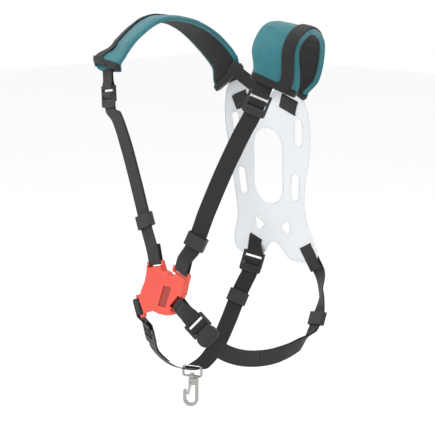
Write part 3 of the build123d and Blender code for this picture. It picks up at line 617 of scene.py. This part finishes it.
leftShoulder = Seat((146.5, -74, -113), (0.71, 0.59, -0.38), (0.28, 0.16, 0.947))
rightShoulder = Seat((-170, -131, -119), (0.98, -0.15, 0.15), (-0.25, 0.1, 0.96))
leftWaist = Seat((57.6, -146, -506.5), (0.56, 0.40, 0.72), (-0.70, -0.24, 0.67))
rightHip = Seat((-84, -120, -547), (0.92, -0.30, -0.19), (0.08, -0.34, 0.94))
rightLegLock = Seat((-37, 112, -439), (0.88, 0.42, -0.22), (0.10, 0.30, 0.95))
chestFace = Seat((-9, -150, -460), (1, 0, 0), (0, 0, 1))
upperRightBar = chestFace.placed(-22, 44, 13)
upperLeftBar = chestFace.placed(43, 38, -18)
lowerRightBar = chestFace.placed(-64, -42, 109)
lowerLeftBar = chestFace.placed(34, -20, -133)
plateFace = Seat(plate["origin"], (1, 0, 0), (0, 0, 1))
topLean = radians(plate["leanTop"])
topFace = Seat(plate["origin"], (1, 0, 0), (0, -sin(topLean), cos(topLean)))
legLean = radians(plate["leanLeg"])
legFace = Seat(plateFace.at(0, -260, -28.5), (1, 0, 0), (0, -sin(legLean), cos(legLean)))
leftLoad = topFace.placed(58, 0, -21)
rightLoad = topFace.placed(-58, 0, 21)
leftLeg = legFace.placed(76, 0, 28)
rightLeg = legFace.placed(-46, 0, -21)


def shortTurn(reach, backReach):
    turn, bend = lock["turn"], lock["bend"]
    return [(reach, turn, 0), (-turn, turn, bend), (-turn, -turn, bend), (backReach, -turn, 0)]


def barTurn(reach, spread):
    turn, bend = lock["turn"], lock["bend"]
    return [
        (reach, spread, 0),
        (3.4 * turn, spread, 2),
        (turn, turn, 2),
        (-turn, turn, bend),
        (-turn, -turn, bend),
        (turn, -turn, 2),
        (3.4 * turn, -spread, 2),
        (reach, -spread, 0),
    ]


# load straps through the plate
for side, seat in (("left", leftLoad), ("right", rightLoad)):
    layer, patch, hidden = plate["loadLayer"], plate["patch"], plate["hidden"]
    cuts = foldCuts(
        seat,
        [
            (-patch - 26, -layer, 0),
            (-patch, -layer, 1.2),
            (-patch, layer, 1.2),
            (patch, layer, 1.2),
            (patch, -layer, 1.2),
            (hidden, -layer, 1.2),
            (hidden, layer, 1.2),
            (hidden + 14, layer, 0),
        ],
    )
    strap = ribbon(f"{side}LoadStrap", cuts, web["loadWidth"], web["loadThick"], webbing, 0.0)
    dress(strap, "harness", "webbing", f"{side}_load_strap")

# shoulder straps and their loose ends
shoulderRoutes = {
    "left": (
        leftShoulder,
        upperLeftBar,
        [
            ((124, -93, -176), (0.73, 0.57, -0.38)),
            ((100, -113, -242), (0.76, 0.53, -0.37)),
            ((74, -131, -318), (0.80, 0.46, -0.36)),
            ((54, -142, -378), (0.88, 0.30, -0.36)),
        ],
    ),
    "right": (
        rightShoulder,
        upperRightBar,
        [
            ((-147, -135, -170), (0.96, -0.12, 0.24)),
            ((-121, -138, -214), (0.92, -0.05, 0.38)),
            ((-88, -142, -288), (0.92, -0.04, 0.38)),
            ((-58, -147, -358), (0.93, -0.02, 0.36)),
        ],
    ),
}
chestFold = 14.0


def layered(cuts, lift):
    return [cut.moved(lift) for cut in cuts]


def nearest(cuts, point):
    return min(range(len(cuts)), key=lambda index: (cuts[index].origin - Vector(point)).length)


lockReach = {"free": 112.0, "right_leg": 72.0, "end": 34.0}  # reaches along each lock's seat; follow() reads them but moves no webbing with them


def follow(piece, name, seat, *nodes):
    # hides the CAD webbing this piece replaces and bakes its transform; the piece does not move with its lock
    if nodes:
        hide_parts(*nodes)
    start = seat.at(0, -lockReach.get(name, lockReach["free"]), 0)
    start * mm
    seat.at(0, -lockReach["end"], 0) * mm
    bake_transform(piece)


for side, (seat, bar, route) in shoulderRoutes.items():
    lead = seat.cut(lock["start"] - web["lead"], lock["upper"])
    arrival = bar.cut(chestFold, lock["turn"])
    run = [seat.cut(lock["start"], lock["upper"])] + cutsAlong(lead, route, arrival)
    turn = foldCuts(bar, shortTurn(chestFold, chestFold + 18))
    strap = ribbon(f"{side}ShoulderStrap", run + turn[1:], web["width"], web["thick"], webbing)
    follow(strap, f"{side}_shoulder", seat, f"{side}_shoulder_strap")
    last = max(index for index, cut in enumerate(run) if (cut.origin - Vector(route[-1][0])).length < 2.6)
    tail = ribbon(f"{side}ShoulderTail", layered(run[: last + 1], -web["pitch"]), web["width"], web["thick"], webbing)
    follow(tail, f"{side}_shoulder", seat, f"{side}_shoulder_tail")

# waist strap on the wearer's left
waistRoute = [
    ((98, -122, -556), (0.40, 0.28, 0.87)),
    ((110, -88, -574), (0.22, 0.12, 0.97)),
    ((118, -46, -583), (0.10, 0.02, 1.0)),
    ((127, -4, -583), (0.12, -0.02, 1.0)),
    ((138, 40, -571), (0.35, -0.12, 0.93)),
    ((146, 68, -548), (0.91, -0.15, 0.38)),
    ((145, 86, -518), (0.97, -0.15, 0.25)),
    ((136, 102, -486), (0.76, -0.62, 0.20)),
]
legReach = 48.0
leg = plate["legLayer"]
lead = leftWaist.cut(lock["start"] - web["lead"], lock["upper"])
run = [leftWaist.cut(lock["start"], lock["upper"])] + cutsAlong(lead, waistRoute, leftLeg.cut(-legReach, -leg, 1))
turn = foldCuts(leftLeg, [(-legReach, -leg, 0), (0, -leg, 1.2), (0, leg, 1.2), (-legReach, leg, 0)])
split = nearest(run, waistRoute[2][0])
waistStrap = ribbon("leftWaistStrap", run[split:] + turn[1:], web["width"], web["thick"], webbing)
dress(waistStrap, "harness", "webbing", "left_waist_strap")
follow(ribbon("leftWaistLead", run[: split + 1], web["width"], web["thick"], webbing), "left_waist", leftWaist)
waistEnd = max(index for index, cut in enumerate(run) if (cut.origin - Vector(waistRoute[6][0])).length < 2.6)
under = layered(run[: waistEnd - 2], -web["pitch"])
waistTail = ribbon("leftWaistTail", under[split:], web["width"], web["thick"], webbing)
dress(waistTail, "harness", "webbing", "left_waist_tail")
follow(ribbon("leftWaistUnder", under[: split + 1], web["width"], web["thick"], webbing), "left_waist", leftWaist)

# hip strap on the wearer's right, through the ring
ringTurn = radians(22)
ringAcross = Vector((cos(ringTurn), sin(ringTurn), 0))
ringAlong = Vector((-sin(ringTurn), cos(ringTurn), 0))
ringCut = Cut((-91, 0, -650), ringAcross, ringAlong)
frontRoute = [
    ((-89, -98, -596), (0.92, -0.10, -0.30)),
    ((-93, -66, -624), (0.96, 0.04, -0.20)),
    ((-94, -30, -644), (0.95, 0.25, -0.08)),
]
rearRoute = [
    ((-83, 22, -642), (0.90, 0.42, -0.08)),
    ((-69, 44, -609), (0.82, 0.54, -0.18)),
    ((-60, 64, -566), (0.77, 0.60, -0.24)),
    ((-54, 84, -521), (0.77, 0.59, -0.25)),
    ((-47, 98, -490), (0.82, 0.52, -0.24)),
]
lead = rightHip.cut(lock["start"] - web["lead"], lock["upper"])
front = [rightHip.cut(lock["start"], lock["upper"])] + cutsAlong(lead, frontRoute, ringCut)
arrival = rightLegLock.cut(lock["start"] - web["lead"], lock["upper"], 1)
rear = cutsAlong(ringCut, rearRoute, arrival) + [rightLegLock.cut(lock["start"], lock["upper"], 1)]
frontStrap = ribbon("rightHipStrapFront", front, web["width"], web["thick"], webbing)
follow(frontStrap, "right_hip", rightHip, "right_hip_strap_front")
rearStrap = ribbon("rightHipStrapRear", rear, web["width"], web["thick"], webbing)
follow(rearStrap, "right_leg", rightLegLock, "right_hip_strap_rear")
legTail = layered(rear[nearest(rear, rearRoute[2][0]) :], web["pitch"])
legPiece = ribbon("rightLegTail", legTail, web["width"], web["thick"], webbing)
follow(legPiece, "right_leg", rightLegLock, "right_leg_tail")
hipTail = layered(front[: nearest(front, frontRoute[1][0]) - 1], -web["pitch"])
hipPiece = ribbon("rightHipTail", hipTail, web["width"], web["thick"], webbing)
follow(hipPiece, "right_hip", rightHip, "right_hip_tail")

# webbing that turns inside each lock and moves with it
locks = {
    "left_shoulder": leftShoulder,
    "right_shoulder": rightShoulder,
    "left_waist": leftWaist,
    "right_hip": rightHip,
    "right_leg": rightLegLock,
}
for name, seat in locks.items():
    pitch, turn = lock["barPitch"], lock["turn"]
    path = [
        (lock["wrapEnd"], lock["upper"], 0),
        (-pitch - lock["lip"] + 1.5, lock["upper"], 3),
        (-pitch - 1, turn, 1.5),
        (-pitch + turn, turn, lock["bend"]),
        (-pitch + turn, -turn, lock["bend"]),
        (lock["wrapEnd"], lock["lower"], 0),
    ]
    wrap = ribbon(f"{name}Wrap", foldCuts(seat, path), web["width"], web["thick"], webbing, 0.0)
    dress(wrap, f"{name}_adjuster", "webbing", f"{name}_wrap")


# short sewn webs
def doubleWeb(name, node, topSeat, bottomSeat, reach, route):
    turn = lock["turn"]
    layers = []
    for side in (1, -1):
        first = topSeat.flipped(reach, side * turn)
        last = bottomSeat.cut(reach, side * turn)
        cuts = cutsAlong(first, route, last)
        count = len(cuts) - 1
        for index in range(1, count):
            fade = min(1.0, index / (0.4 * count), (count - index) / (0.4 * count))
            cuts[index] = cuts[index].moved(side * web["pitch"] / 2 * fade)
        layers.append(cuts)
    topTurn = foldCuts(topSeat, shortTurn(reach, reach))
    bottomTurn = foldCuts(bottomSeat, shortTurn(reach, reach))
    under = [Cut(cut.origin, cut.across, -cut.travel) for cut in reversed(layers[1])]
    web1 = layers[0] + bottomTurn[1:-1] + under
    piece = ribbon(f"{name}Loop", web1, web["width"], web["thick"], webbing, 0.3)
    topPiece = ribbon(f"{name}Turn", topTurn, web["width"], web["thick"], webbing, 0.0)
    topPiece.parent = piece
    dress(piece, "harness", "webbing", node)
    lines = boxStitch(layers[0], 3, len(layers[0]) - 4, 4.0, 0.9, web["width"] / 2)
    stitches(f"{name}Stitches", lines, blackThread, "harness", "webbing")


doubleWeb("leftChestWeb", "left_chest_web", lowerLeftBar, leftWaist, 7, [((44, -151, -494), (0.62, 0.20, 0.74))])
doubleWeb("rightChestWeb", "right_chest_web", lowerRightBar, rightHip, 7, [((-86, -140, -521), (0.66, -0.20, -0.66))])

legCuts = foldCuts(rightLeg, [(-26, -leg, 0), (0, -leg, 1.2), (0, leg, 1.2), (-5, leg, 0)])
lockTurn = foldCuts(rightLegLock, shortTurn(6, 5.5))
legWeb = ribbon("rightLegWeb", legCuts + lockTurn, web["width"], web["thick"], webbing, 0.0)
dress(legWeb, "harness", "webbing", "right_leg_web")
print("webbing")

# shoulder pads
pad = {"width": 80.0, "half": 6.6, "square": 3.2, "rim": 6.5, "around": 64}
pad.update({"mouth": 19.0, "lead": 10.0, "overhang": 42.0, "rearOut": 11.7})
swellSeed = {"left": 3.0, "right": 11.0}
padRoutes = {
    "left": (
        leftLoad,
        -14,
        leftShoulder,
        14,
        1,
        [
            ((102, 76, -83), (0.86, 0.28, -0.42)),
            ((118, 66, -52), (0.88, 0.34, -0.32)),
            ((139, 40, -20), (0.90, 0.38, -0.22)),
            ((153, 4, -4), (0.92, 0.36, -0.16)),
            ((161, -32, -10), (0.92, 0.36, -0.16)),
            ((164, -56, -36), (0.92, 0.36, -0.18)),
        ],
    ),
    "right": (
        rightLoad,
        14,
        rightShoulder,
        0,
        -1,
        [
            ((-81, 75, -81), (0.80, -0.24, 0.50)),
            ((-101, 56, -46), (0.86, -0.24, 0.36)),
            ((-114, 24, -18), (0.92, -0.26, 0.20)),
            ((-125, -14, -2), (0.92, -0.34, 0.10)),
            ((-136, -54, -2), (0.88, -0.44, 0.02)),
            ((-152, -90, -28), (0.86, -0.48, -0.04)),
            ((-164, -112, -58), (0.88, -0.40, 0.00)),
        ],
    ),
}


def power(value, exponent):
    return (1 if value >= 0 else -1) * abs(value) ** exponent


def crown(u, half=None):
    # the pad's half thickness at a place across it
    return (half or pad["half"]) * max(0.0, 1 - abs(2 * u / pad["width"]) ** pad["square"]) ** (1 / pad["square"])


mouthCut = {"left": (3.0, 0.0, 0.0, 0.0), "right": (32.0, 10.0, 12.0, 4.0)}


def trimmed(side, along, total, u, w):
    # how far the mouth's edge is cut back: outer lip at its two sides, then inner lip at its two sides
    far, near, farUnder, nearUnder = mouthCut[side]
    t = min(1.0, max(0.0, 1 - (total - along) / 90))
    t = t * t * (3 - 2 * t)
    lateral = min(1.0, max(0.0, 0.5 - u / pad["width"]))
    top = far * lateral + near * (1 - lateral)
    under = farUnder * lateral + nearUnder * (1 - lateral)
    share = min(1.0, max(0.0, 0.5 + w / (2 * pad["half"])))
    return -t * (top * share + under * (1 - share))


def swellAt(side, cut, place):
    # how much the cover stands up at a place across it
    return noise.noise((cut.origin + cut.across * place) * 0.045 + Vector((swellSeed[side], 0, 0)))


def padRing(cut, half, inset, seed, side, along, total):
    ring = []
    for index in range(pad["around"]):
        angle = 2 * pi * index / pad["around"]
        u = power(cos(angle), 2 / pad["square"]) * (pad["width"] / 2 - inset)
        w = power(sin(angle), 2 / pad["square"]) * half
        place = cut.origin + cut.across * u + cut.out * w + cut.travel * trimmed(side, along, total, u, w)
        if inset == 0:
            soft = noise.noise(place * 0.045 + Vector((seed, 0, 0))) * 1.1 + noise.noise(place * 0.14) * 0.35
            rim = abs(abs(u) - (pad["width"] / 2 - pad["rim"]))
            groove = 0.9 * max(0.0, 1 - rim / 1.6)
            place = place + cut.out * (1 if w > 0 else -1) * (soft * crown(u, 1.0) - groove)
        ring.append(place)
    return ring


def inflate(piece, loose, pressure, cap, frames=12):
    # lets air into the cloth, then keeps each point within a short way of where it was cut
    rest = [vertex.co.copy() for vertex in piece.data.vertices]
    pins = piece.vertex_groups.new(name="pins")
    for index, value in enumerate(loose):
        pins.add([index], 1.0 - value, "REPLACE")
    cloth = piece.modifiers.new("cloth", "CLOTH")
    settings = cloth.settings
    settings.quality = 6
    settings.mass = 0.25
    settings.tension_stiffness = 25
    settings.compression_stiffness = 25
    settings.shear_stiffness = 12
    settings.bending_stiffness = 0.6
    settings.use_pressure = True
    settings.uniform_pressure_force = pressure
    settings.vertex_group_mass = "pins"
    settings.effector_weights.gravity = 0
    cloth.collision_settings.use_collision = False
    cloth.point_cache.frame_start = 1
    cloth.point_cache.frame_end = frames
    for step in range(1, frames + 1):
        scene.frame_set(step)
    shaped = piece.evaluated_get(bpy.context.evaluated_depsgraph_get())
    moved = [vertex.co.copy() for vertex in shaped.data.vertices]
    piece.modifiers.remove(cloth)
    piece.vertex_groups.clear()
    scene.frame_set(1)
    for vertex, start, end in zip(piece.data.vertices, rest, moved):
        shift = end - start
        reach = shift.length
        vertex.co = start + shift * (cap / reach) if reach > cap else end
    piece.data.update()


def shoulderPad(side, load, rearTurn, lockSeat, mouthShift, tapeSide, route):
    rearSeat = load.turned(rearTurn)
    rear = Cut(load.at(0, pad["overhang"], pad["rearOut"]), rearSeat.x, rearSeat.y)
    front = Cut(lockSeat.at(mouthShift, pad["mouth"], 0), lockSeat.x, -lockSeat.y)
    bend = cutsAlong(rear.moved(along=pad["lead"]), route, front.moved(along=-pad["lead"]), 3.4)
    cuts = [rear, rear.moved(along=pad["lead"] / 2)] + bend + [front.moved(along=-pad["lead"] / 2), front]
    alongs = lengths(cuts)
    total = alongs[-1]
    rings, places, halves = [], [], []
    for cut, along in zip(cuts, alongs):
        flare = max(0.0, 1 - (total - along) / 30)
        half = min(pad["half"], 5.4 + along * 0.08) + flare * 1.2
        rings.append(padRing(cut, half, 0, swellSeed[side], side, along, total))
        places.append(along)
        halves.append(half)
    outer = len(rings)
    for index in range(outer - 1, 0, -1):
        if total - alongs[index] > 26:
            break
        rings.append(padRing(cuts[index], halves[index] - 1.5, 1.5, 0, side, alongs[index], total))
        places.append(total + (total - alongs[index]))
    around = []
    for index in range(pad["around"]):
        angle = 2 * pi * index / pad["around"]
        around.append(power(cos(angle), 2 / pad["square"]) * pad["width"] / 2)
    quarter = pad["around"] // 2

    def pick(row, column):
        inside = column >= quarter
        middle = abs(around[column]) < pad["width"] / 2 - pad["rim"]
        if row >= outer - 1:
            return 0
        return 1 if inside and middle else 0

    body = ringed(f"{side}Pad", rings, around, places, [padCloth, liningCloth], pick)
    loose = []
    for row in range(len(rings)):
        free = 0.0 if row >= outer - 8 or row < 4 else min(1.0, (row - 3) / 6, (outer - 8 - row) / 6)
        for index in range(pad["around"]):
            seam = min(1.0, abs(abs(around[index]) - (pad["width"] / 2 - pad["rim"])) / 3)
            loose.append(free * seam)
    inflate(body, loose, 2.0, 0.0022)
    dress(body, "harness", "pad_cloth", f"{side}_pad_cover", f"{side}_pad_foam", f"{side}_pad_lining")
    smoothed = body.modifiers.new("subdivision", "SUBSURF")
    smoothed.levels = 1
    smoothed.render_levels = 1

    # the tape that carries the load, laid along the cover
    tapeWidth, tapeCentre = 22.0, tapeSide * (pad["width"] / 2 - 12 - 11)
    strip, stripAlong = [], []

    def tapeLine(along):
        # nearer the outer edge over the shoulder than at the mouth
        return tapeCentre + tapeSide * 8.5 * min(1.0, max(0.0, (total - along) / 70))

    profile = [(-tapeWidth / 2 + tapeWidth * i / 8, 0.75) for i in range(9)]
    profile += [(tapeWidth / 2 - tapeWidth * i / 8, -0.9) for i in range(9)]
    for cut, along, half in zip(cuts, alongs, halves):
        if along < total * 0.16:
            continue
        fade = min(1.0, (total - along) / 14)
        ring = []
        for u, w in profile:
            place = tapeLine(along) * (0.35 + 0.65 * fade) + u * (1 + 0.5 * (1 - fade))
            swell = swellAt(side, cut, place)
            back = cut.travel * trimmed(side, along, total, place, half)
            ring.append(cut.origin + back + cut.across * place + cut.out * (crown(place, half) + 1.9 + w + swell * 1.1))
        strip.append(ring)
        stripAlong.append(along)
    tape = ringed(f"{side}PadTape", strip, [u for u, w in profile], stripAlong, [bindingTape])
    dress(tape, "harness", "binding_tape", f"{side}_pad_tape")
    seams = []
    for edge in (-1, 1):
        seam = []
        for cut, along, half in list(zip(cuts, alongs, halves))[8:-6:2]:
            place = tapeLine(along) + edge * (tapeWidth / 2 - 1.8)
            swell = swellAt(side, cut, place)
            point = cut.origin + cut.travel * trimmed(side, along, total, place, half)
            point = point + cut.across * place + cut.out * (crown(place, half) + 2.75 + swell * 1.1)
            if along > total * 0.17:
                seam.append((point, cut.out))
        seams.append(seam)
    stitches(f"{side}TapeStitches", seams, blackThread, "harness", "binding_tape")
    edges = []
    for edge in (-1, 1):
        line = []
        for cut, along, half in list(zip(cuts, alongs, halves))[3:-3:2]:
            place = edge * (pad["width"] / 2 - pad["rim"])
            point = cut.origin + cut.travel * trimmed(side, along, total, place, -half)
            line.append((point + cut.across * place - cut.out * (crown(place, half) + 0.2), -cut.out))
        edges.append(line)
    stitches(f"{side}RimStitches", edges, tealThread, "harness", "pad_cloth")

    # piping along both long edges
    for edge, word in ((-1, "Inner"), (1, "Outer")):
        rope, ropeAlong = [], []
        for cut, along in list(zip(cuts, alongs))[1:]:
            centre = cut.origin + cut.across * edge * (pad["width"] / 2 + 0.3)
            centre = centre + cut.travel * trimmed(side, along, total, edge * pad["width"] / 2, 0)
            angles = [k * pi / 4 for k in range(8)]
            rope.append([centre + (cut.across * cos(a) + cut.out * sin(a)) * 1.3 for a in angles])
            ropeAlong.append(along)
        piping = ringed(f"{side}Piping{word}", rope, [k * 1.0 for k in range(8)], ropeAlong, [padCloth])
        dress(piping, "harness", "pad_cloth")

    # folded tapes over the raw edges
    band(f"{side}RearBinding", rear, rear.moved(along=9), halves[0] + 1.5, 0.0, f"{side}_pad_rear_binding")
    band(f"{side}FrontBinding", front, front.moved(along=-11), 0.0, halves[-1], f"{side}_pad_front_binding")
    mouthWeb(side, lockSeat)


def band(name, edge, inward, half, lift, node):
    # lift 0 wraps the whole pad; otherwise the tape wraps the cover alone
    width = pad["width"] + 2.6
    count = 20
    rings = []
    total = (inward.origin - edge.origin).length
    outwards = (edge.origin - inward.origin).normalized()
    if lift == 0:
        for reach, swell in ((total, 0.0), (total, 1.1), (total * 0.5, 1.35), (0.6, 1.2), (-1.0, 0.5), (-1.4, -1.2)):
            ring = []
            for index in range(pad["around"]):
                angle = 2 * pi * index / pad["around"]
                u = power(cos(angle), 2 / 4.5) * (width / 2 + swell * 0.6)
                w = power(sin(angle), 2 / 4.5) * (half + swell)
                ring.append(edge.origin - outwards * reach + edge.across * u + edge.out * w)
            rings.append(ring)
        around = [index * 1.6 for index in range(pad["around"])]
        piece = ringed(name, rings, around, [0, 1, 5, 9, 11, 13], [bindingTape])
    else:
        for index in range(count + 1):
            u = -width / 2 + width * index / count
            rise = crown(u * 0.985, lift)
            fall = crown(u * 0.985, max(lift - 1.6, 1.0))
            ring = []
            for reach, w in (
                (total, rise + 0.3),
                (total * 0.6, rise + 1.15),
                (0.4, rise + 1.1),
                (-1.1, rise + 0.3),
                (-1.1, fall - 0.3),
                (0.4, fall - 1.1),
                (total * 0.6, fall - 1.1),
                (total, fall - 0.4),
            ):
                back = edge.travel * trimmed(name[: -len("FrontBinding")], 1, 1, u, w)
                ring.append(edge.origin + back - outwards * reach + edge.across * u + edge.out * w)
            rings.append(ring)
        alongs = [width * index / count for index in range(count + 1)]
        piece = ringed(name, rings, [0, 4, 9, 11, 12, 14, 18, 22], alongs, [bindingTape])
    return dress(piece, "harness", "binding_tape", node)


def mouthWeb(side, lockSeat):
    cuts = foldCuts(lockSeat, barTurn(32, web["pitch"] / 2))
    piece = ribbon(f"{side}PadWeb", cuts, web["width"], web["thick"], webbing, 0.0)
    dress(piece, "harness", "webbing", f"{side}_pad_web")


for side, parts in padRoutes.items():
    shoulderPad(side, *parts)
    print(f"{side} pad")

# yoke between the pads
yoke = {"width": 26.0, "drop": 24.0, "forward": 10.0, "sag": 3.0, "out": 22.3, "corner": 56.0}
ends = []
for seat, turn, reach in ((rightLoad, 14, 1), (leftLoad, -14, -1)):
    ends.append(seat.at(0, yoke["corner"], yoke["out"]) + seat.turned(turn).x * reach * (pad["width"] / 2 - 14))
low = plateFace.at(0, yoke["drop"], yoke["forward"])
right, left = ends
sag = Vector((0, 0, yoke["sag"]))
yokeCuts = cutsAlong(
    Cut(right, (0.55, 0, 0.83), (0.83, 0, -0.55)),
    [
        (right * 0.4 + low * 0.6 - sag, (0.4, 0, 0.9)),
        (low, (0, 0, 1)),
        (left * 0.4 + low * 0.6 - sag, (-0.4, 0, 0.9)),
    ],
    Cut(left, (-0.55, 0, 0.83), (0.83, 0, 0.55)),
)
dress(ribbon("yokeWeb", yokeCuts, yoke["width"], web["thick"], webbing, 0.6), "harness", "webbing", "yoke_web")

# hard parts keep their CAD shape
for name, node in frame["nodes"].items():
    finish = None
    if name == "back_plate":
        finish = platePlastic
    elif name.endswith("_lock") or name.endswith("_keeper"):
        finish = bucklePlastic
    elif name in ("chest_shell", "chest_back"):
        finish = chestPlastic
    elif name in ("chest_button", "chest_tongue"):
        finish = buttonPlastic
    elif name in ("hook_ring", "hook_stud", "hook_body", "gate_pin"):
        finish = hookSteel
    elif name in ("hook_gate", "gate_spring", "button_spring"):
        finish = gateSteel
    elif name.startswith("chest_screw"):
        finish = screwSteel
    if finish:
        node.data.materials.clear()
        node.data.materials.append(finish)

# the cast hook and its gate, with their edges worn round
cast = {"voxel": 0.45, "passes": 10}


def softened(node, finish, body):
    copy = frame["nodes"][node].data.copy()
    copy.name = f"{node}Round"
    copy.materials.clear()
    copy.materials.append(finish)
    piece = bpy.data.objects.new(f"{node}Round", copy)
    scene.collection.objects.link(piece)
    skin = piece.modifiers.new("skin", "REMESH")
    skin.mode = "VOXEL"
    skin.voxel_size = cast["voxel"] * mm
    skin.use_smooth_shade = True
    wear = piece.modifiers.new("wear", "SMOOTH")
    wear.factor = 0.5
    wear.iterations = cast["passes"]
    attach(piece, body)
    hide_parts(node)


softened("hook_body", hookSteel, "hook")
softened("hook_gate", gateSteel, "gate")
print("hard parts")

# raised rims round the plate's outline and windows, along its edges on the wearer's side
rim = {"radius": 1.25, "sharp": 50.0, "clear": 27.0}
plateNode = frame["nodes"]["back_plate"]
shape = bmesh.new()
shape.from_mesh(plateNode.data)
bmesh.ops.remove_doubles(shape, verts=shape.verts, dist=0.00002)
slots = [leftLoad.at(0, reach, 0) for reach in (-plate["patch"], plate["patch"], plate["hidden"])]
slots += [rightLoad.at(0, reach, 0) for reach in (-plate["patch"], plate["patch"], plate["hidden"])]
slots += [leftLeg.at(0, 0, 0), rightLeg.at(0, 0, 0)]
plain = []
for edge in shape.edges:
    if len(edge.link_faces) != 2 or edge.calc_face_angle(0) < radians(rim["sharp"]):
        plain.append(edge)
        continue
    middle = (edge.verts[0].co + edge.verts[1].co) / 2 / mm
    facing = min(face.normal.y for face in edge.link_faces)
    if facing > -0.8 or any((middle - slot).length < rim["clear"] for slot in slots):
        plain.append(edge)
bmesh.ops.delete(shape, geom=plain, context="EDGES_FACES")
loose = [vertex for vertex in shape.verts if not vertex.link_edges]
bmesh.ops.delete(shape, geom=loose, context="VERTS")
rimMesh = bpy.data.meshes.new("plateRim")
shape.to_mesh(rimMesh)
shape.free()
rimPiece = bpy.data.objects.new("plateRim", rimMesh)
scene.collection.objects.link(rimPiece)
print("rim edges", len(rimMesh.edges))
for shown in scene.objects:
    shown.select_set(shown == rimPiece)
bpy.context.view_layer.objects.active = rimPiece
bpy.ops.object.convert(target="CURVE")
rimPiece.data.bevel_depth = rim["radius"] * mm
rimPiece.data.bevel_resolution = 2
bpy.ops.object.convert(target="MESH")
rimPiece.data.materials.append(platePlastic)
rimPiece.data.polygons.foreach_set("use_smooth", [True] * len(rimPiece.data.polygons))
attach(rimPiece, "harness")

# floor
floorMesh = bpy.data.meshes.new("floor")
drop = cadLow.z - 0.30
floorMesh.from_pydata([(-8, -8, drop), (8, -8, drop), (8, 8, drop), (-8, 8, drop)], [], [(0, 1, 2, 3)])
floorMesh.materials.append(floorFinish())
floor = bpy.data.objects.new("floor", floorMesh)
scene.collection.objects.link(floor)

print("finished")
